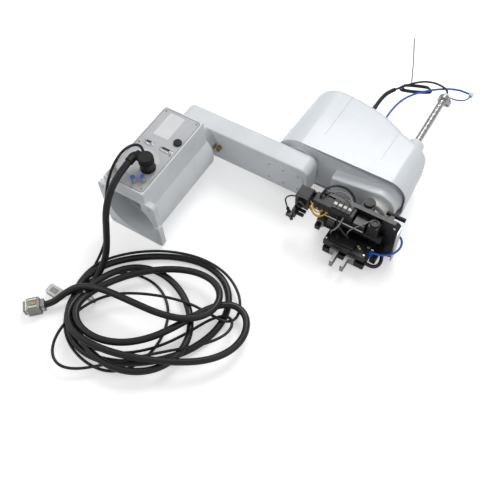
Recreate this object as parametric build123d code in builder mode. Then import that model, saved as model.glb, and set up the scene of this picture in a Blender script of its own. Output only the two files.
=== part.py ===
from build123d import *
import os
from math import radians, tan

# Four-axis selective-compliance robot arm, lying on its front side.
# Millimetres. Origin: first joint axis on the mounting face.
# +X runs along the straight arms, +Y along the joint axes, from the mounting face
# to the shaft top, and +Z up from the surface on which the robot lies.

# Mounting flange
FLANGE_SIZE = 180.0
FLANGE_T = 16.0
FLANGE_CORNER = 12.0
BOLT_PITCH = 150.0
BOLT_HOLE_D = 9.0
NOTCH_W = 14.0
NOTCH_DEPTH = 12.0

# Tower with the flat-sided housing at its back
TOWER_R = 80.0
TOWER_TOP = 281.0
TOWER_ROOF = 20.0
HOLLOW_R = 72.0
HOLLOW_STEP = 7.0
HOLLOW_LIP_DEPTH = 58.0
HOUSE_W = 125.0
HOUSE_BACK = 126.0
HOUSE_LOW = 4.0
HOUSE_HIGH = 277.0
HOUSE_WALL = 9.0
HOUSE_ROUND = 3.0
CABLE_PASS_W = 96.0
CABLE_PASS_TOP = 84.0

# Connector panel, let into the back of the housing
PANEL_T = 3.0
PANEL_RIM = 4.5
PANEL_CORNER = 9.0
GASKET_W = 1.1
GASKET_PROUD = 0.2
SCREW_R = 2.6
SCREW_HEAD_H = 1.6
CABLE_PLATE_R = 46.0
CABLE_PLATE_T = 2.5
CABLE_PLATE_AT = (0.0, 85.0)
CABLE_PLATE_SCREWS = 5
CABLE_PLATE_TURN = 20.0
POWER_PLUG_AT = (28.0, 77.0)
POWER_PLUG_R = 19.0
POWER_PLUG_H = 34.0
RING_STEP = 2.0
RING_RIBS = 12
RING_RIB_R = 1.5
ELBOW_DRUM_H = 16.0
ELBOW_R = 11.5
ELBOW_BEND = 13.0
ELBOW_Z = 167.0
ELBOW_EXIT = (-5.0, 50.0, 166.0)
SIGNAL_GLAND_AT = (-8.0, 108.0)
SIGNAL_GLAND_R = 9.0
SIGNAL_GLAND_H = 12.0
GLAND_NUT_H = 4.0
GLAND_STEP = 2.0
DSUB_AT = ((-23.0, 150.0), (31.0, 150.0))
DSUB_LENGTHS = (31.0, 39.0)
DSUB_W = 12.5
DSUB_FLANGE_T = 1.0
DSUB_SHELL_H = 6.0
DSUB_NUT_INSET = 3.0
DSUB_NUT_R = 2.5
BUTTON_AT = (43.0, 185.0)
BUTTON_R = 11.0
BUTTON_GAP = 0.6
BUTTON_PROUD = 6.0
BUTTON_ROUND = 1.5
PLATE_SIZE = (48.0, 82.0)
PLATE_AT = (-10.0, 221.5)
PLATE_T = 0.6
PLATE_CORNER = 2.0
FITTING_AT = ((20.0, 27.0), (40.0, 40.0), (-42.0, 31.0))
FITTING_R = 5.5
FITTING_HEX_R = 6.5
FITTING_H = 15.0
COLLAR_R = 4.6
COLLAR_H = 7.0
TUBE_BORE_R = 3.05

# Running and seating clearances, and the general edge break
JOINT_GAP = 0.3
RUNNING_GAP = 0.05
EDGE_BREAK = 1.0

# First joint: motor, reducer and collar
J1_MOTOR_R = 40.0
J1_MOTOR_H = 118.0
J1_REDUCER_R = 58.0
J1_REDUCER_H = 34.0
COLLAR_RING_R = 69.0
SPIGOT_R = 25.0
SPIGOT_H = 12.0
STOP_PIN_R = 6.5
STOP_PIN_H = 15.0
STOP_PIN_X = 79.0

# First arm
ARM1_LOW = 316.0
ARM1_T = 64.0
ARM1_W = 112.0
ARM1_REACH = 300.0
ARM1_END = 58.0
ARM1_CORNER = 24.0
ARM1_TOP_ROUND = 14.0
ARM1_LOW_ROUND = 4.0
ARM1_WALL = 9.0
ARM1_HOLLOW_X = (76.0, 235.0)
ACCESS_X = 286.0
ACCESS_SIZE = (118.0, 68.0)
ACCESS_CORNER = 20.0
ACCESS_T = 3.0
ACCESS_RIM = 9.0
POCKET_DEPTH = 12.0
ACCESS_SCREW_PITCH = (45.0, 52.0)
J2_REDUCER_R = 45.0
J2_REDUCER_H = 44.0

# Second arm: casting
ARM2_REACH = 250.0
ARM2_LIFT = 6.0
ARM2_PLATE_T = 16.0
ARM2_TIP_R = 54.0
J2_BOSS_R = 52.0
KEEL_START = 112.0
KEEL_START_W = 60.0
KEEL_TIP_R = 50.0
KEEL_DEPTH = 34.0
KEEL_ROUND = 5.0
SEAL_RING_R = 34.0
SEAL_RING_H = 24.0
SHAFT_WINDOW_GAP = 0.6
BRIDGE_LOW = 470.0
BRIDGE_T = 10.0
BRIDGE_X = (388.0, 582.0)
BRIDGE_W = 120.0
BRIDGE_CORNER = 8.0
POST_W = 14.0
POST_X = (470.0, 575.0)

# Second arm: moulded cover
COVER_HALF_W = 76.0
COVER_TIP_X = 612.0
COVER_TIP_CORNER = 54.0
COVER_WALL = 3.0
COVER_DRAFT = 2.6
CROWN_X = (150.0, 240.0, 327.0, 398.0, 464.0, 516.0, 585.0, 680.0)
CROWN_Y = (560.0, 612.0, 624.0, 613.0, 593.0, 566.0, 541.0, 515.0)
COVER_EDGE_ROUND = 18.0
BOSS_X = 552.0
BOSS_R_LOW = 31.0
BOSS_R_TOP = 22.5
BOSS_LOW = 500.0
BOSS_TOP = 597.0
BOSS_BORE_R = 13.0
BOSS_LIP = 6.0
BOSS_ROUND = 1.5
GROOVE_DEPTH = 1.6
GROOVE_LOW = 442.0
GROOVES = ((350.0, 20.0), (517.0, 17.0))

# Drives in the second arm
J2_MOTOR_R = 32.0
J2_MOTOR_H = 118.0
MOTOR_W = 50.0
MOTOR_CORNER = 6.0
J3_MOTOR_AT = (415.0, -30.0)
J4_MOTOR_AT = (440.0, 32.0)
J4_MOTOR_H = 76.0
MOTOR_SHAFT_R = 5.0
BELT_T = 2.0
BELT_W = 14.0
PULLEY_H = 20.0
NUT_PULLEY_R = 30.0
MOTOR_PULLEY_R = 15.0
SPLINE_NUT_R = 22.0
SPLINE_NUT_PULLEY_LOW = 424.0
SCREW_NUT_R = 20.0
SCREW_NUT_PULLEY_LOW = 486.0

# Shaft with its top clamp and the bush in its bore
SHAFT_R = 10.0
SHAFT_BORE_R = 6.0
SHAFT_LOW = 294.0
SHAFT_TOP = 803.0
SPLINE_W = 4.0
SPLINE_DEPTH = 1.1
SPLINES = 3
CLAMP_R = 16.0
CLAMP_EAR_R = 8.5
CLAMP_EAR_AT = (15.0, -9.0)
CLAMP_H = 14.0
CLAMP_BELOW_TOP = 4.0
BUSH_FLANGE_R = 8.5
BUSH_FLANGE_H = 9.0
BUSH_PLUG_H = 14.0
BUSH_PORT_R = 3.4
BUSH_PORT_L = 9.0

# Fittings on top of the cover
TOP_ROOT_Y = 560.0
TOP_PLUG_X = 396.0
TOP_FITTING_X = 441.0
LAMP_X = 486.0
TOP_ROW_Z = 18.0
TOP_PLUG_R = 8.0
TOP_PLUG_TOP = 655.0
TOP_PLUG_NECK_H = 14.0
TOP_PLUG_NECK_R = 6.5
TOP_FITTING_R = 6.0
TOP_FITTING_TOP = 628.0
TOP_COLLAR_H = 8.0
LAMP_R = 6.5
LAMP_TOP = 598.0
LAMP_ROUND = 5.0

# Hand on the lower shaft end
HUB_R = 26.0
HUB_H = 32.0
HAND_TOP = 292.0
HAND_PLATE_T = 12.0
HAND_X = (420.0, 640.0)
HAND_Z = (-90.0, 60.0)
HAND_CORNER = 14.0
EYE_X = (366.0, 404.0)
EYE_Y = (238.0, 276.0)
EYE_Z = (16.0, 62.0)
EYE_LENS_R = 13.0
EYE_LENS_H = 8.0
EYE_GLASS_R = 9.0
EYE_ARM_X = 446.0
EYE_ARM_Z = (26.0, 52.0)
VALVE_X = (412.0, 524.0)
VALVE_LOW = 250.0
VALVE_Z = (20.0, 56.0)
VALVE_COUNT = 4
VALVE_PITCH = 13.5
VALVE_GAP = 1.5
VALVE_X_MIDDLE = 489.0
VALVE_H = 6.0
TURN_MOTOR_X = 542.0
TURN_MOTOR_R = 17.0
TURN_MOTOR_Z = (29.0, 60.0)
TURN_CAP_R = 14.0
TURN_CAP_H = 6.0
CYLINDER_R = 13.0
CYLINDER_Z = -8.0
CYLINDER_X = (462.0, 606.0)
GRIPPER_X = (470.0, 590.0)
GRIPPER_Y = (206.0, 248.0)
GRIPPER_Z = (-84.0, -26.0)
GRIPPER_ROUND = 3.0
WEB_X = (490.0, 570.0)
WEB_Z = (-72.0, -40.0)
SLOT_W = 16.0
SLOT_DEPTH = 7.0
JAW_L = 24.0
JAW_W = 26.0
JAW_LOW = 165.0
JAW_OPEN = 22.0
JAW_TRAVEL = 8.0
JAW_FINGER_T = 9.0
END_PLATE_X = (618.0, 626.0)
END_PLATE_H = 26.0
END_PLATE_Z = (-78.0, -6.0)
PROBE_FOOT_X = (366.0, 374.0)
PROBE_FOOT_Y = (222.0, 250.0)
PROBE_FOOT_LOW = -20.0
PEN_TOP = (348.0, 230.0, 0.0)
PEN_END = (367.0, 220.0, -30.0)
PEN_R = 4.5
PEN_CLAMP_W = 16.0
BARREL_R = 5.0
BARREL_L = 22.0
BARREL_Y = (230.0, 243.0)
BARREL_Z = -4.0
SIDE_SENSOR_R = 6.0
SIDE_SENSOR_X = (586.0, 638.0)
SIDE_SENSOR_Z = 22.0
SIDE_STAND_X = (600.0, 610.0)
SIDE_STAND_H = 33.0
PORT_R = 3.5
PORT_H = 8.0
VALVE_PORT_X = (428.0, 442.0, 456.0)
GRIPPER_PORT_X = (500.0, 560.0)

# Cables and tubes
POWER_CABLE_D = 18.0
SIGNAL_CABLE_D = 7.5
TOP_CABLE_D = 6.0
SLEEVE_D = 12.0
AIR_TUBE_D = 6.0
THIN_TUBE_D = 4.0
GRIPPER_HOSE_D = 10.0
RUN_SHARE = 0.45
COIL_TOP = -44.0

# Sizes that follow from those above
FLOOR_Z = -FLANGE_SIZE / 2
ARM1_TOP = ARM1_LOW + ARM1_T
ARM2_LOW = ARM1_TOP + ARM2_LIFT
ARM2_TOP = ARM2_LOW + ARM2_PLATE_T
KEEL_LOW = ARM2_LOW - KEEL_DEPTH
SHAFT_X = ARM1_REACH + ARM2_REACH
BRIDGE_TOP = BRIDGE_LOW + BRIDGE_T
COLLAR_RING_TOP = ARM1_LOW - JOINT_GAP
COVER_SLOPE = tan(radians(COVER_DRAFT))
ARM2_ROOT_R = COVER_HALF_W - COVER_WALL - ARM2_PLATE_T * COVER_SLOPE - JOINT_GAP
HAND_LOW = HAND_TOP - HAND_PLATE_T
PLATE_FACE = HOUSE_BACK + CABLE_PLATE_T


def level(height):
    """Plane across the joint axes at a height: local x and y are X and Z, its normal is -Y."""
    return Plane(origin=(0, height, 0), x_dir=(1, 0, 0), z_dir=(0, -1, 0))


def column(low, high, radius, x, z=0.0, mode=Mode.ADD):
    """Round bar along Y between two heights, in the part being built."""
    with BuildSketch(level(low)) as section:
        with Locations((x, z)):
            Circle(radius)
    extrude(section.sketch, amount=low - high, mode=mode)


def block(x_span, y_span, z_span, mode=Mode.ADD):
    """Square block between two corners, in the part being built."""
    middle = ((x_span[0] + x_span[1]) / 2, (y_span[0] + y_span[1]) / 2)
    with BuildSketch(Plane.XY.offset(z_span[0])) as section:
        with Locations(middle):
            Rectangle(x_span[1] - x_span[0], y_span[1] - y_span[0])
    extrude(section.sketch, amount=z_span[1] - z_span[0], mode=mode)


def stud(at, low, high, radius, mode=Mode.ADD):
    """Round bar along Z between two levels, in the part being built."""
    with BuildSketch(Plane.XY.offset(low)) as section:
        with Locations(at):
            Circle(radius)
    extrude(section.sketch, amount=high - low, mode=mode)


def bend_radii(points):
    """Radius of the arc at each inner point, as large as its two runs allow."""
    radii = []
    for before, here, after in zip(points, points[1:], points[2:]):
        run_in = Vector(*here) - Vector(*before)
        run_out = Vector(*after) - Vector(*here)
        half_turn = radians(run_in.get_angle(run_out)) / 2
        radii.append(RUN_SHARE * min(run_in.length, run_out.length) / tan(half_turn))
    return radii


def lay_tube(label, points, diameter):
    """Tube along straight runs joined by arcs, in the part being built."""
    radii = bend_radii(points)
    with BuildLine() as route:
        FilletPolyline(*points, radius=radii)
    path = route.wire()
    with BuildSketch(Plane(origin=path @ 0, z_dir=path % 0)) as section:
        Circle(diameter / 2)
    tube = sweep(section.sketch, path=path, mode=Mode.PRIVATE)
    add(tube)
    ideal = section.sketch.area * path.length
    rounded = [round(radius) for radius in radii]
    print(f"{label}: length {path.length:.0f}, volume {tube.volume / ideal:.4f} of ideal, radii {rounded}")


def save(builder, label):
    """Labels a finished piece and writes it."""
    builder.part.label = label
    export_step(builder.part, f"parts/{label}.step")


os.makedirs("parts", exist_ok=True)

# Base casting: flange, tower and housing, hollow from below
with BuildPart() as base_casting:
    with BuildSketch(level(0)):
        RectangleRounded(FLANGE_SIZE, FLANGE_SIZE, FLANGE_CORNER)
        with GridLocations(FLANGE_SIZE, 0, 2, 1):
            SlotCenterToCenter(2 * NOTCH_DEPTH - NOTCH_W, NOTCH_W, mode=Mode.SUBTRACT)
        with GridLocations(BOLT_PITCH, BOLT_PITCH, 2, 2):
            Circle(BOLT_HOLE_D / 2, mode=Mode.SUBTRACT)
    extrude(amount=-FLANGE_T)
    column(FLANGE_T, TOWER_TOP, TOWER_R, 0)
    block((-HOUSE_W / 2, HOUSE_W / 2), (HOUSE_LOW, HOUSE_HIGH), (0, HOUSE_BACK))
    back_corners = base_casting.edges().filter_by(Axis.Y).group_by(Axis.Z)[-1]
    fillet(back_corners, HOUSE_ROUND)
    column(0, HOLLOW_LIP_DEPTH, HOLLOW_R, 0, mode=Mode.SUBTRACT)
    column(0, TOWER_TOP - TOWER_ROOF, HOLLOW_R - HOLLOW_STEP, 0, mode=Mode.SUBTRACT)
    column(0, TOWER_TOP, J1_REDUCER_R + RUNNING_GAP, 0, mode=Mode.SUBTRACT)
    block((-CABLE_PASS_W / 2, CABLE_PASS_W / 2), (0, 2 * FLANGE_T), (0, CABLE_PASS_TOP), mode=Mode.SUBTRACT)
    house_inside = HOUSE_W / 2 - HOUSE_WALL
    block(
        (-house_inside, house_inside),
        (2 * FLANGE_T, HOUSE_HIGH - 2 * HOUSE_WALL),
        (0, HOUSE_BACK - 2 * PANEL_T),
        mode=Mode.SUBTRACT,
    )
    panel_w = HOUSE_W - 2 * PANEL_RIM
    panel_h = HOUSE_HIGH - HOUSE_LOW - 2 * PANEL_RIM
    panel_y = (HOUSE_HIGH + HOUSE_LOW) / 2
    with BuildSketch(Plane.XY.offset(HOUSE_BACK)):
        with Locations((0, panel_y)):
            RectangleRounded(panel_w, panel_h, PANEL_CORNER)
    extrude(amount=-PANEL_T, mode=Mode.SUBTRACT)
    stud(BUTTON_AT, HOUSE_BACK - 3 * PANEL_T, HOUSE_BACK, BUTTON_R + BUTTON_GAP, mode=Mode.SUBTRACT)
save(base_casting, "base_casting")

# Connector panel with the opening for the button
with BuildPart() as connector_panel:
    with BuildSketch(Plane.XY.offset(HOUSE_BACK - PANEL_T)):
        with Locations((0, panel_y)):
            RectangleRounded(panel_w - 2 * GASKET_W, panel_h - 2 * GASKET_W, PANEL_CORNER - GASKET_W)
        with Locations(BUTTON_AT):
            Circle(BUTTON_R + BUTTON_GAP, mode=Mode.SUBTRACT)
    extrude(amount=PANEL_T)
save(connector_panel, "connector_panel")

# Gasket round the panel
with BuildPart() as panel_gasket:
    with BuildSketch(Plane.XY.offset(HOUSE_BACK - PANEL_T)):
        with Locations((0, panel_y)):
            RectangleRounded(panel_w, panel_h, PANEL_CORNER)
            RectangleRounded(
                panel_w - 2 * GASKET_W,
                panel_h - 2 * GASKET_W,
                PANEL_CORNER - GASKET_W,
                mode=Mode.SUBTRACT,
            )
    extrude(amount=PANEL_T + GASKET_PROUD)
save(panel_gasket, "panel_gasket")

# Screws round the panel
with BuildPart() as panel_screws:
    with BuildSketch(Plane.XY.offset(HOUSE_BACK)):
        with Locations((0, panel_y)):
            with GridLocations(panel_w - 2 * PANEL_CORNER, (panel_h - 2 * PANEL_CORNER) / 2, 2, 3):
                Circle(SCREW_R)
    extrude(amount=SCREW_HEAD_H)
save(panel_screws, "panel_screws")

# Round plate that carries the cable connectors, with its screws
with BuildPart() as cable_plate:
    stud(CABLE_PLATE_AT, HOUSE_BACK, PLATE_FACE, CABLE_PLATE_R)
    with BuildSketch(Plane.XY.offset(PLATE_FACE)):
        with Locations(CABLE_PLATE_AT):
            with PolarLocations(CABLE_PLATE_R - 2 * SCREW_R, CABLE_PLATE_SCREWS, start_angle=CABLE_PLATE_TURN):
                Circle(SCREW_R)
    extrude(amount=SCREW_HEAD_H)
save(cable_plate, "cable_plate")

# Power connector: threaded shell with a ribbed coupling ring
with BuildPart() as power_connector:
    stud(POWER_PLUG_AT, PLATE_FACE, PLATE_FACE + POWER_PLUG_H, POWER_PLUG_R - RING_STEP)
    with BuildSketch(Plane.XY.offset(PLATE_FACE + POWER_PLUG_H / 3)):
        with Locations(POWER_PLUG_AT):
            Circle(POWER_PLUG_R)
            with PolarLocations(POWER_PLUG_R, RING_RIBS):
                Circle(RING_RIB_R, mode=Mode.SUBTRACT)
    extrude(amount=POWER_PLUG_H / 2)
save(power_connector, "power_connector")

# Elbow backshell: a drum on the connector, with an arm that turns towards the mounting face
elbow_low = PLATE_FACE + POWER_PLUG_H
elbow_route = (
    (POWER_PLUG_AT[0], POWER_PLUG_AT[1], ELBOW_Z),
    (ELBOW_EXIT[0], POWER_PLUG_AT[1], ELBOW_Z),
    ELBOW_EXIT,
)
with BuildPart() as power_elbow:
    with BuildLine() as elbow_line:
        FilletPolyline(*elbow_route, radius=ELBOW_BEND)
    with BuildSketch(Plane(origin=elbow_line.line @ 0, z_dir=elbow_line.line % 0)) as elbow_section:
        Circle(ELBOW_R)
    sweep(elbow_section.sketch, path=elbow_line.line)
    stud(POWER_PLUG_AT, elbow_low, elbow_low + ELBOW_DRUM_H, POWER_PLUG_R - RING_STEP / 2)
    stud(POWER_PLUG_AT, PLATE_FACE, elbow_low, POWER_PLUG_R + JOINT_GAP, mode=Mode.SUBTRACT)
save(power_elbow, "power_elbow")

# Gland of the signal cable
with BuildPart() as signal_gland:
    nut_face = PLATE_FACE + GLAND_NUT_H
    stud(SIGNAL_GLAND_AT, PLATE_FACE, nut_face, SIGNAL_GLAND_R)
    stud(SIGNAL_GLAND_AT, nut_face, PLATE_FACE + SIGNAL_GLAND_H, SIGNAL_GLAND_R - GLAND_STEP)
    chamfer(signal_gland.edges().group_by(Axis.Z)[-1], 2 * EDGE_BREAK)
save(signal_gland, "signal_gland")

# Two flat plug-in connectors with a flanged shell
for dsub_label, dsub_at, dsub_l in zip(("user_connector_9", "user_connector_15"), DSUB_AT, DSUB_LENGTHS):
    with BuildPart() as user_connector:
        with BuildSketch(Plane.XY.offset(HOUSE_BACK)):
            with Locations(dsub_at):
                RectangleRounded(dsub_l, DSUB_W, 2)
        extrude(amount=DSUB_FLANGE_T)
        with BuildSketch(Plane.XY.offset(HOUSE_BACK)):
            with Locations(dsub_at):
                RectangleRounded(dsub_l - 4 * DSUB_NUT_INSET - DSUB_FLANGE_T, DSUB_W - 4, 3)
        extrude(amount=DSUB_SHELL_H)
        with BuildSketch(Plane.XY.offset(HOUSE_BACK)):
            with Locations(dsub_at):
                with GridLocations(dsub_l - 2 * DSUB_NUT_INSET, 0, 2, 1):
                    RegularPolygon(DSUB_NUT_R, 6)
        extrude(amount=DSUB_SHELL_H - DSUB_FLANGE_T)
    save(user_connector, dsub_label)

# Blank identification plate
with BuildPart() as nameplate:
    with BuildSketch(Plane.XY.offset(HOUSE_BACK)):
        with Locations(PLATE_AT):
            RectangleRounded(*PLATE_SIZE, PLATE_CORNER)
    extrude(amount=PLATE_T)
save(nameplate, "nameplate")

# Push-in air fittings
fitting_top = HOUSE_BACK + FITTING_H + COLLAR_H
with BuildPart() as push_fittings:
    with BuildSketch(Plane.XY.offset(HOUSE_BACK)):
        with Locations(*FITTING_AT):
            RegularPolygon(FITTING_HEX_R, 6)
    extrude(amount=FITTING_H / 2)
    for fitting_at in FITTING_AT:
        stud(fitting_at, HOUSE_BACK, HOUSE_BACK + FITTING_H, FITTING_R)
        stud(fitting_at, HOUSE_BACK + FITTING_H, fitting_top, COLLAR_R)
        stud(fitting_at, fitting_top - 2 * COLLAR_H, fitting_top, TUBE_BORE_R, mode=Mode.SUBTRACT)
save(push_fittings, "push_fittings")

# Brake release button, in its opening in the panel
with BuildPart() as brake_button:
    stud(BUTTON_AT, HOUSE_BACK - PANEL_T, HOUSE_BACK + BUTTON_PROUD, BUTTON_R)
    fillet(brake_button.edges().group_by(Axis.Z)[-1], BUTTON_ROUND)
save(brake_button, "brake_button")

# First joint's motor, below its reducer
reducer_low = TOWER_TOP - J1_REDUCER_H
with BuildPart() as j1_motor:
    column(reducer_low - J1_MOTOR_H, reducer_low, J1_MOTOR_R, 0)
    chamfer(j1_motor.edges().group_by(Axis.Y)[0], 3 * EDGE_BREAK)
save(j1_motor, "j1_motor")

# First joint's reducer with the machined collar that the arm turns on
spigot_low = ARM1_LOW - SPIGOT_H
with BuildPart() as j1_reducer:
    column(reducer_low, TOWER_TOP, J1_REDUCER_R, 0)
    column(TOWER_TOP, COLLAR_RING_TOP, COLLAR_RING_R, 0)
    column(spigot_low - JOINT_GAP, COLLAR_RING_TOP, SPIGOT_R + RUNNING_GAP, 0, mode=Mode.SUBTRACT)
save(j1_reducer, "j1_reducer")

# First arm: a flat hollow casting with a turning spigot below its root
arm1_x = (-ARM1_END, ARM1_REACH + ARM1_END)
hollow_l = ARM1_HOLLOW_X[1] - ARM1_HOLLOW_X[0]
reducer2_low = ARM1_TOP - J2_REDUCER_H
pocket_size = (ACCESS_SIZE[0] - 2 * ACCESS_RIM, ACCESS_SIZE[1] - 2 * ACCESS_RIM)
with BuildPart() as arm_1_casting:
    with BuildSketch(level(ARM1_LOW)):
        with Locations(((arm1_x[0] + arm1_x[1]) / 2, 0)):
            RectangleRounded(arm1_x[1] - arm1_x[0], ARM1_W, ARM1_CORNER)
    extrude(amount=-ARM1_T)
    fillet(arm_1_casting.edges().group_by(Axis.Y)[-1], ARM1_TOP_ROUND)
    fillet(arm_1_casting.edges().group_by(Axis.Y)[0], ARM1_LOW_ROUND)
    column(spigot_low, ARM1_LOW, SPIGOT_R, 0)
    column(reducer2_low, ARM1_TOP, J2_REDUCER_R + RUNNING_GAP, ARM1_REACH, mode=Mode.SUBTRACT)
    with BuildSketch(level(ARM1_LOW)):
        with Locations((ACCESS_X, 0)):
            RectangleRounded(*pocket_size, ACCESS_CORNER - ACCESS_RIM)
    extrude(amount=-POCKET_DEPTH, mode=Mode.SUBTRACT)
    with BuildSketch(level(ARM1_LOW + ARM1_WALL)):
        with Locations(((ARM1_HOLLOW_X[0] + ARM1_HOLLOW_X[1]) / 2, 0)):
            RectangleRounded(hollow_l, ARM1_W - 2 * ARM1_WALL, ARM1_CORNER - ARM1_WALL)
    extrude(amount=2 * ARM1_WALL - ARM1_T, mode=Mode.SUBTRACT)
    block(
        (ARM1_HOLLOW_X[1] - ARM1_WALL, ACCESS_X),
        (ARM1_LOW + ARM1_WALL, ARM1_LOW + POCKET_DEPTH),
        (-pocket_size[1] / 4, pocket_size[1] / 4),
        mode=Mode.SUBTRACT,
    )
save(arm_1_casting, "arm_1_casting")

# Access cover under the first arm
with BuildPart() as arm_1_cover:
    with BuildSketch(level(ARM1_LOW)):
        with Locations((ACCESS_X, 0)):
            RectangleRounded(*ACCESS_SIZE, ACCESS_CORNER)
    extrude(amount=ACCESS_T)
    fillet(arm_1_cover.edges().group_by(Axis.Y)[0], EDGE_BREAK)
save(arm_1_cover, "arm_1_cover")

# Screws of the access cover
with BuildPart() as arm_1_screws:
    with BuildSketch(level(ARM1_LOW - ACCESS_T)):
        with Locations((ACCESS_X, 0)):
            with GridLocations(*ACCESS_SCREW_PITCH, 3, 2):
                Circle(SCREW_R)
    extrude(amount=SCREW_HEAD_H)
save(arm_1_screws, "arm_1_screws")

# Stop pin of the first joint
with BuildPart() as stop_pin:
    column(ARM1_LOW - STOP_PIN_H, ARM1_LOW, STOP_PIN_R, STOP_PIN_X)
    chamfer(stop_pin.edges().group_by(Axis.Y)[0], EDGE_BREAK)
save(stop_pin, "stop_pin")

# Second joint's reducer, let into the end of the first arm
spigot2_low = ARM1_TOP + JOINT_GAP - SPIGOT_H
with BuildPart() as j2_reducer:
    column(reducer2_low, ARM1_TOP, J2_REDUCER_R, ARM1_REACH)
    column(spigot2_low - JOINT_GAP, ARM1_TOP, SPIGOT_R + RUNNING_GAP, ARM1_REACH, mode=Mode.SUBTRACT)
save(j2_reducer, "j2_reducer")

# Second arm's casting: base plate, keel round the shaft, and a bridge on posts for the drives
with BuildPart() as arm_2_casting:
    with BuildSketch(level(KEEL_LOW)):
        with Locations((ARM1_REACH + KEEL_START, 0)):
            Rectangle(1, KEEL_START_W)
        with Locations((SHAFT_X, 0)):
            Circle(KEEL_TIP_R)
        make_hull()
    extrude(amount=-KEEL_DEPTH)
    fillet(arm_2_casting.edges().group_by(Axis.Y)[0], KEEL_ROUND)
    with BuildSketch(level(ARM2_LOW)):
        with Locations((ARM1_REACH, 0)):
            Circle(ARM2_ROOT_R)
        with Locations((SHAFT_X, 0)):
            Circle(ARM2_TIP_R)
        make_hull()
    extrude(amount=-ARM2_PLATE_T)
    column(ARM1_TOP + JOINT_GAP, ARM2_LOW, J2_BOSS_R, ARM1_REACH)
    column(spigot2_low, ARM1_TOP + JOINT_GAP, SPIGOT_R, ARM1_REACH)
    with BuildSketch(level(ARM2_TOP)):
        with Locations(((POST_X[0] + POST_X[1]) / 2, 0)):
            with GridLocations(POST_X[1] - POST_X[0], BRIDGE_W - POST_W, 2, 2):
                Rectangle(POST_W, POST_W)
    extrude(amount=ARM2_TOP - BRIDGE_LOW)
    with BuildSketch(level(BRIDGE_LOW)):
        with Locations(((BRIDGE_X[0] + BRIDGE_X[1]) / 2, 0)):
            RectangleRounded(BRIDGE_X[1] - BRIDGE_X[0], BRIDGE_W, BRIDGE_CORNER)
    extrude(amount=-BRIDGE_T)
    column(KEEL_LOW, ARM2_TOP, SPLINE_NUT_R + RUNNING_GAP, SHAFT_X, mode=Mode.SUBTRACT)
    column(BRIDGE_LOW, BRIDGE_TOP, SCREW_NUT_R + RUNNING_GAP, SHAFT_X, mode=Mode.SUBTRACT)
    column(BRIDGE_LOW, BRIDGE_TOP, MOTOR_SHAFT_R + JOINT_GAP, *J3_MOTOR_AT, mode=Mode.SUBTRACT)
    column(BRIDGE_LOW, BRIDGE_TOP, MOTOR_SHAFT_R + JOINT_GAP, *J4_MOTOR_AT, mode=Mode.SUBTRACT)
save(arm_2_casting, "arm_2_casting")


def cover_plan(height, inset):
    """Outline of the cover at a height, drawn in by an inset."""
    half_w = COVER_HALF_W - inset
    tip_x = COVER_TIP_X - inset
    corner = COVER_TIP_CORNER - inset
    with BuildSketch(level(height)) as plan:
        with Locations((ARM1_REACH, 0)):
            Circle(half_w)
        with Locations((tip_x - corner, half_w - corner), (tip_x - corner, corner - half_w)):
            Circle(corner)
        make_hull()
    return plan.sketch


def cover_form(inset):
    """Body of the moulded cover, drawn in by an inset, in the part being built."""
    peak = max(CROWN_Y) + COVER_EDGE_ROUND
    draw_in = (peak - ARM2_LOW) * COVER_SLOPE
    loft([cover_plan(ARM2_LOW, inset), cover_plan(peak, inset + draw_in)], ruled=True)
    crown = [(x, y - inset) for x, y in zip(CROWN_X, CROWN_Y)]
    with BuildSketch(Plane.XY.offset(-COVER_HALF_W)) as side:
        with BuildLine():
            Spline(*crown)
            Polyline(crown[-1], (crown[-1][0], ARM2_LOW), (crown[0][0], ARM2_LOW), crown[0])
        make_face()
    extrude(side.sketch, amount=2 * COVER_HALF_W, mode=Mode.INTERSECT)


# Outer and inner bodies of the cover, with rounded crowns
with BuildPart() as cover_outside:
    cover_form(0)
    fillet(cover_outside.faces().sort_by(Axis.Y)[-1].edges(), COVER_EDGE_ROUND)
with BuildPart() as cover_inside:
    cover_form(COVER_WALL)
    fillet(cover_inside.faces().sort_by(Axis.Y)[-1].edges(), COVER_EDGE_ROUND - COVER_WALL)

# Skin that the grooves take off the cover
with BuildPart() as cover_under_grooves:
    cover_form(GROOVE_DEPTH)
    fillet(cover_under_grooves.faces().sort_by(Axis.Y)[-1].edges(), COVER_EDGE_ROUND - GROOVE_DEPTH)
with BuildPart() as groove_bands:
    add(cover_outside.part)
    add(cover_under_grooves.part, mode=Mode.SUBTRACT)
    with BuildSketch(Plane.XY.offset(-COVER_HALF_W)):
        for groove_x, groove_w in GROOVES:
            with Locations((groove_x, (GROOVE_LOW + max(CROWN_Y)) / 2)):
                Rectangle(groove_w, max(CROWN_Y) - GROOVE_LOW)
    extrude(amount=2 * COVER_HALF_W, mode=Mode.INTERSECT)

# Second arm's moulded cover, with a tapered tower round the shaft
with BuildPart() as arm_2_cover:
    add(cover_outside.part)
    with BuildSketch(level(BOSS_LOW)):
        with Locations((BOSS_X, 0)):
            Circle(BOSS_R_LOW)
    with BuildSketch(level(BOSS_TOP)):
        with Locations((BOSS_X, 0)):
            Circle(BOSS_R_TOP)
    loft()
    fillet(arm_2_cover.edges().filter_by(lambda edge: abs(edge.center().Y - BOSS_TOP) < 0.01), BOSS_ROUND)
    add(cover_inside.part, mode=Mode.SUBTRACT)
    add(groove_bands.part, mode=Mode.SUBTRACT)
    column(BOSS_LOW, BOSS_TOP - BOSS_LIP, BOSS_R_TOP - COVER_WALL - 1, BOSS_X, mode=Mode.SUBTRACT)
    column(BOSS_LOW, BOSS_TOP, BOSS_BORE_R, BOSS_X, mode=Mode.SUBTRACT)
save(arm_2_cover, "arm_2_cover")

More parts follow.
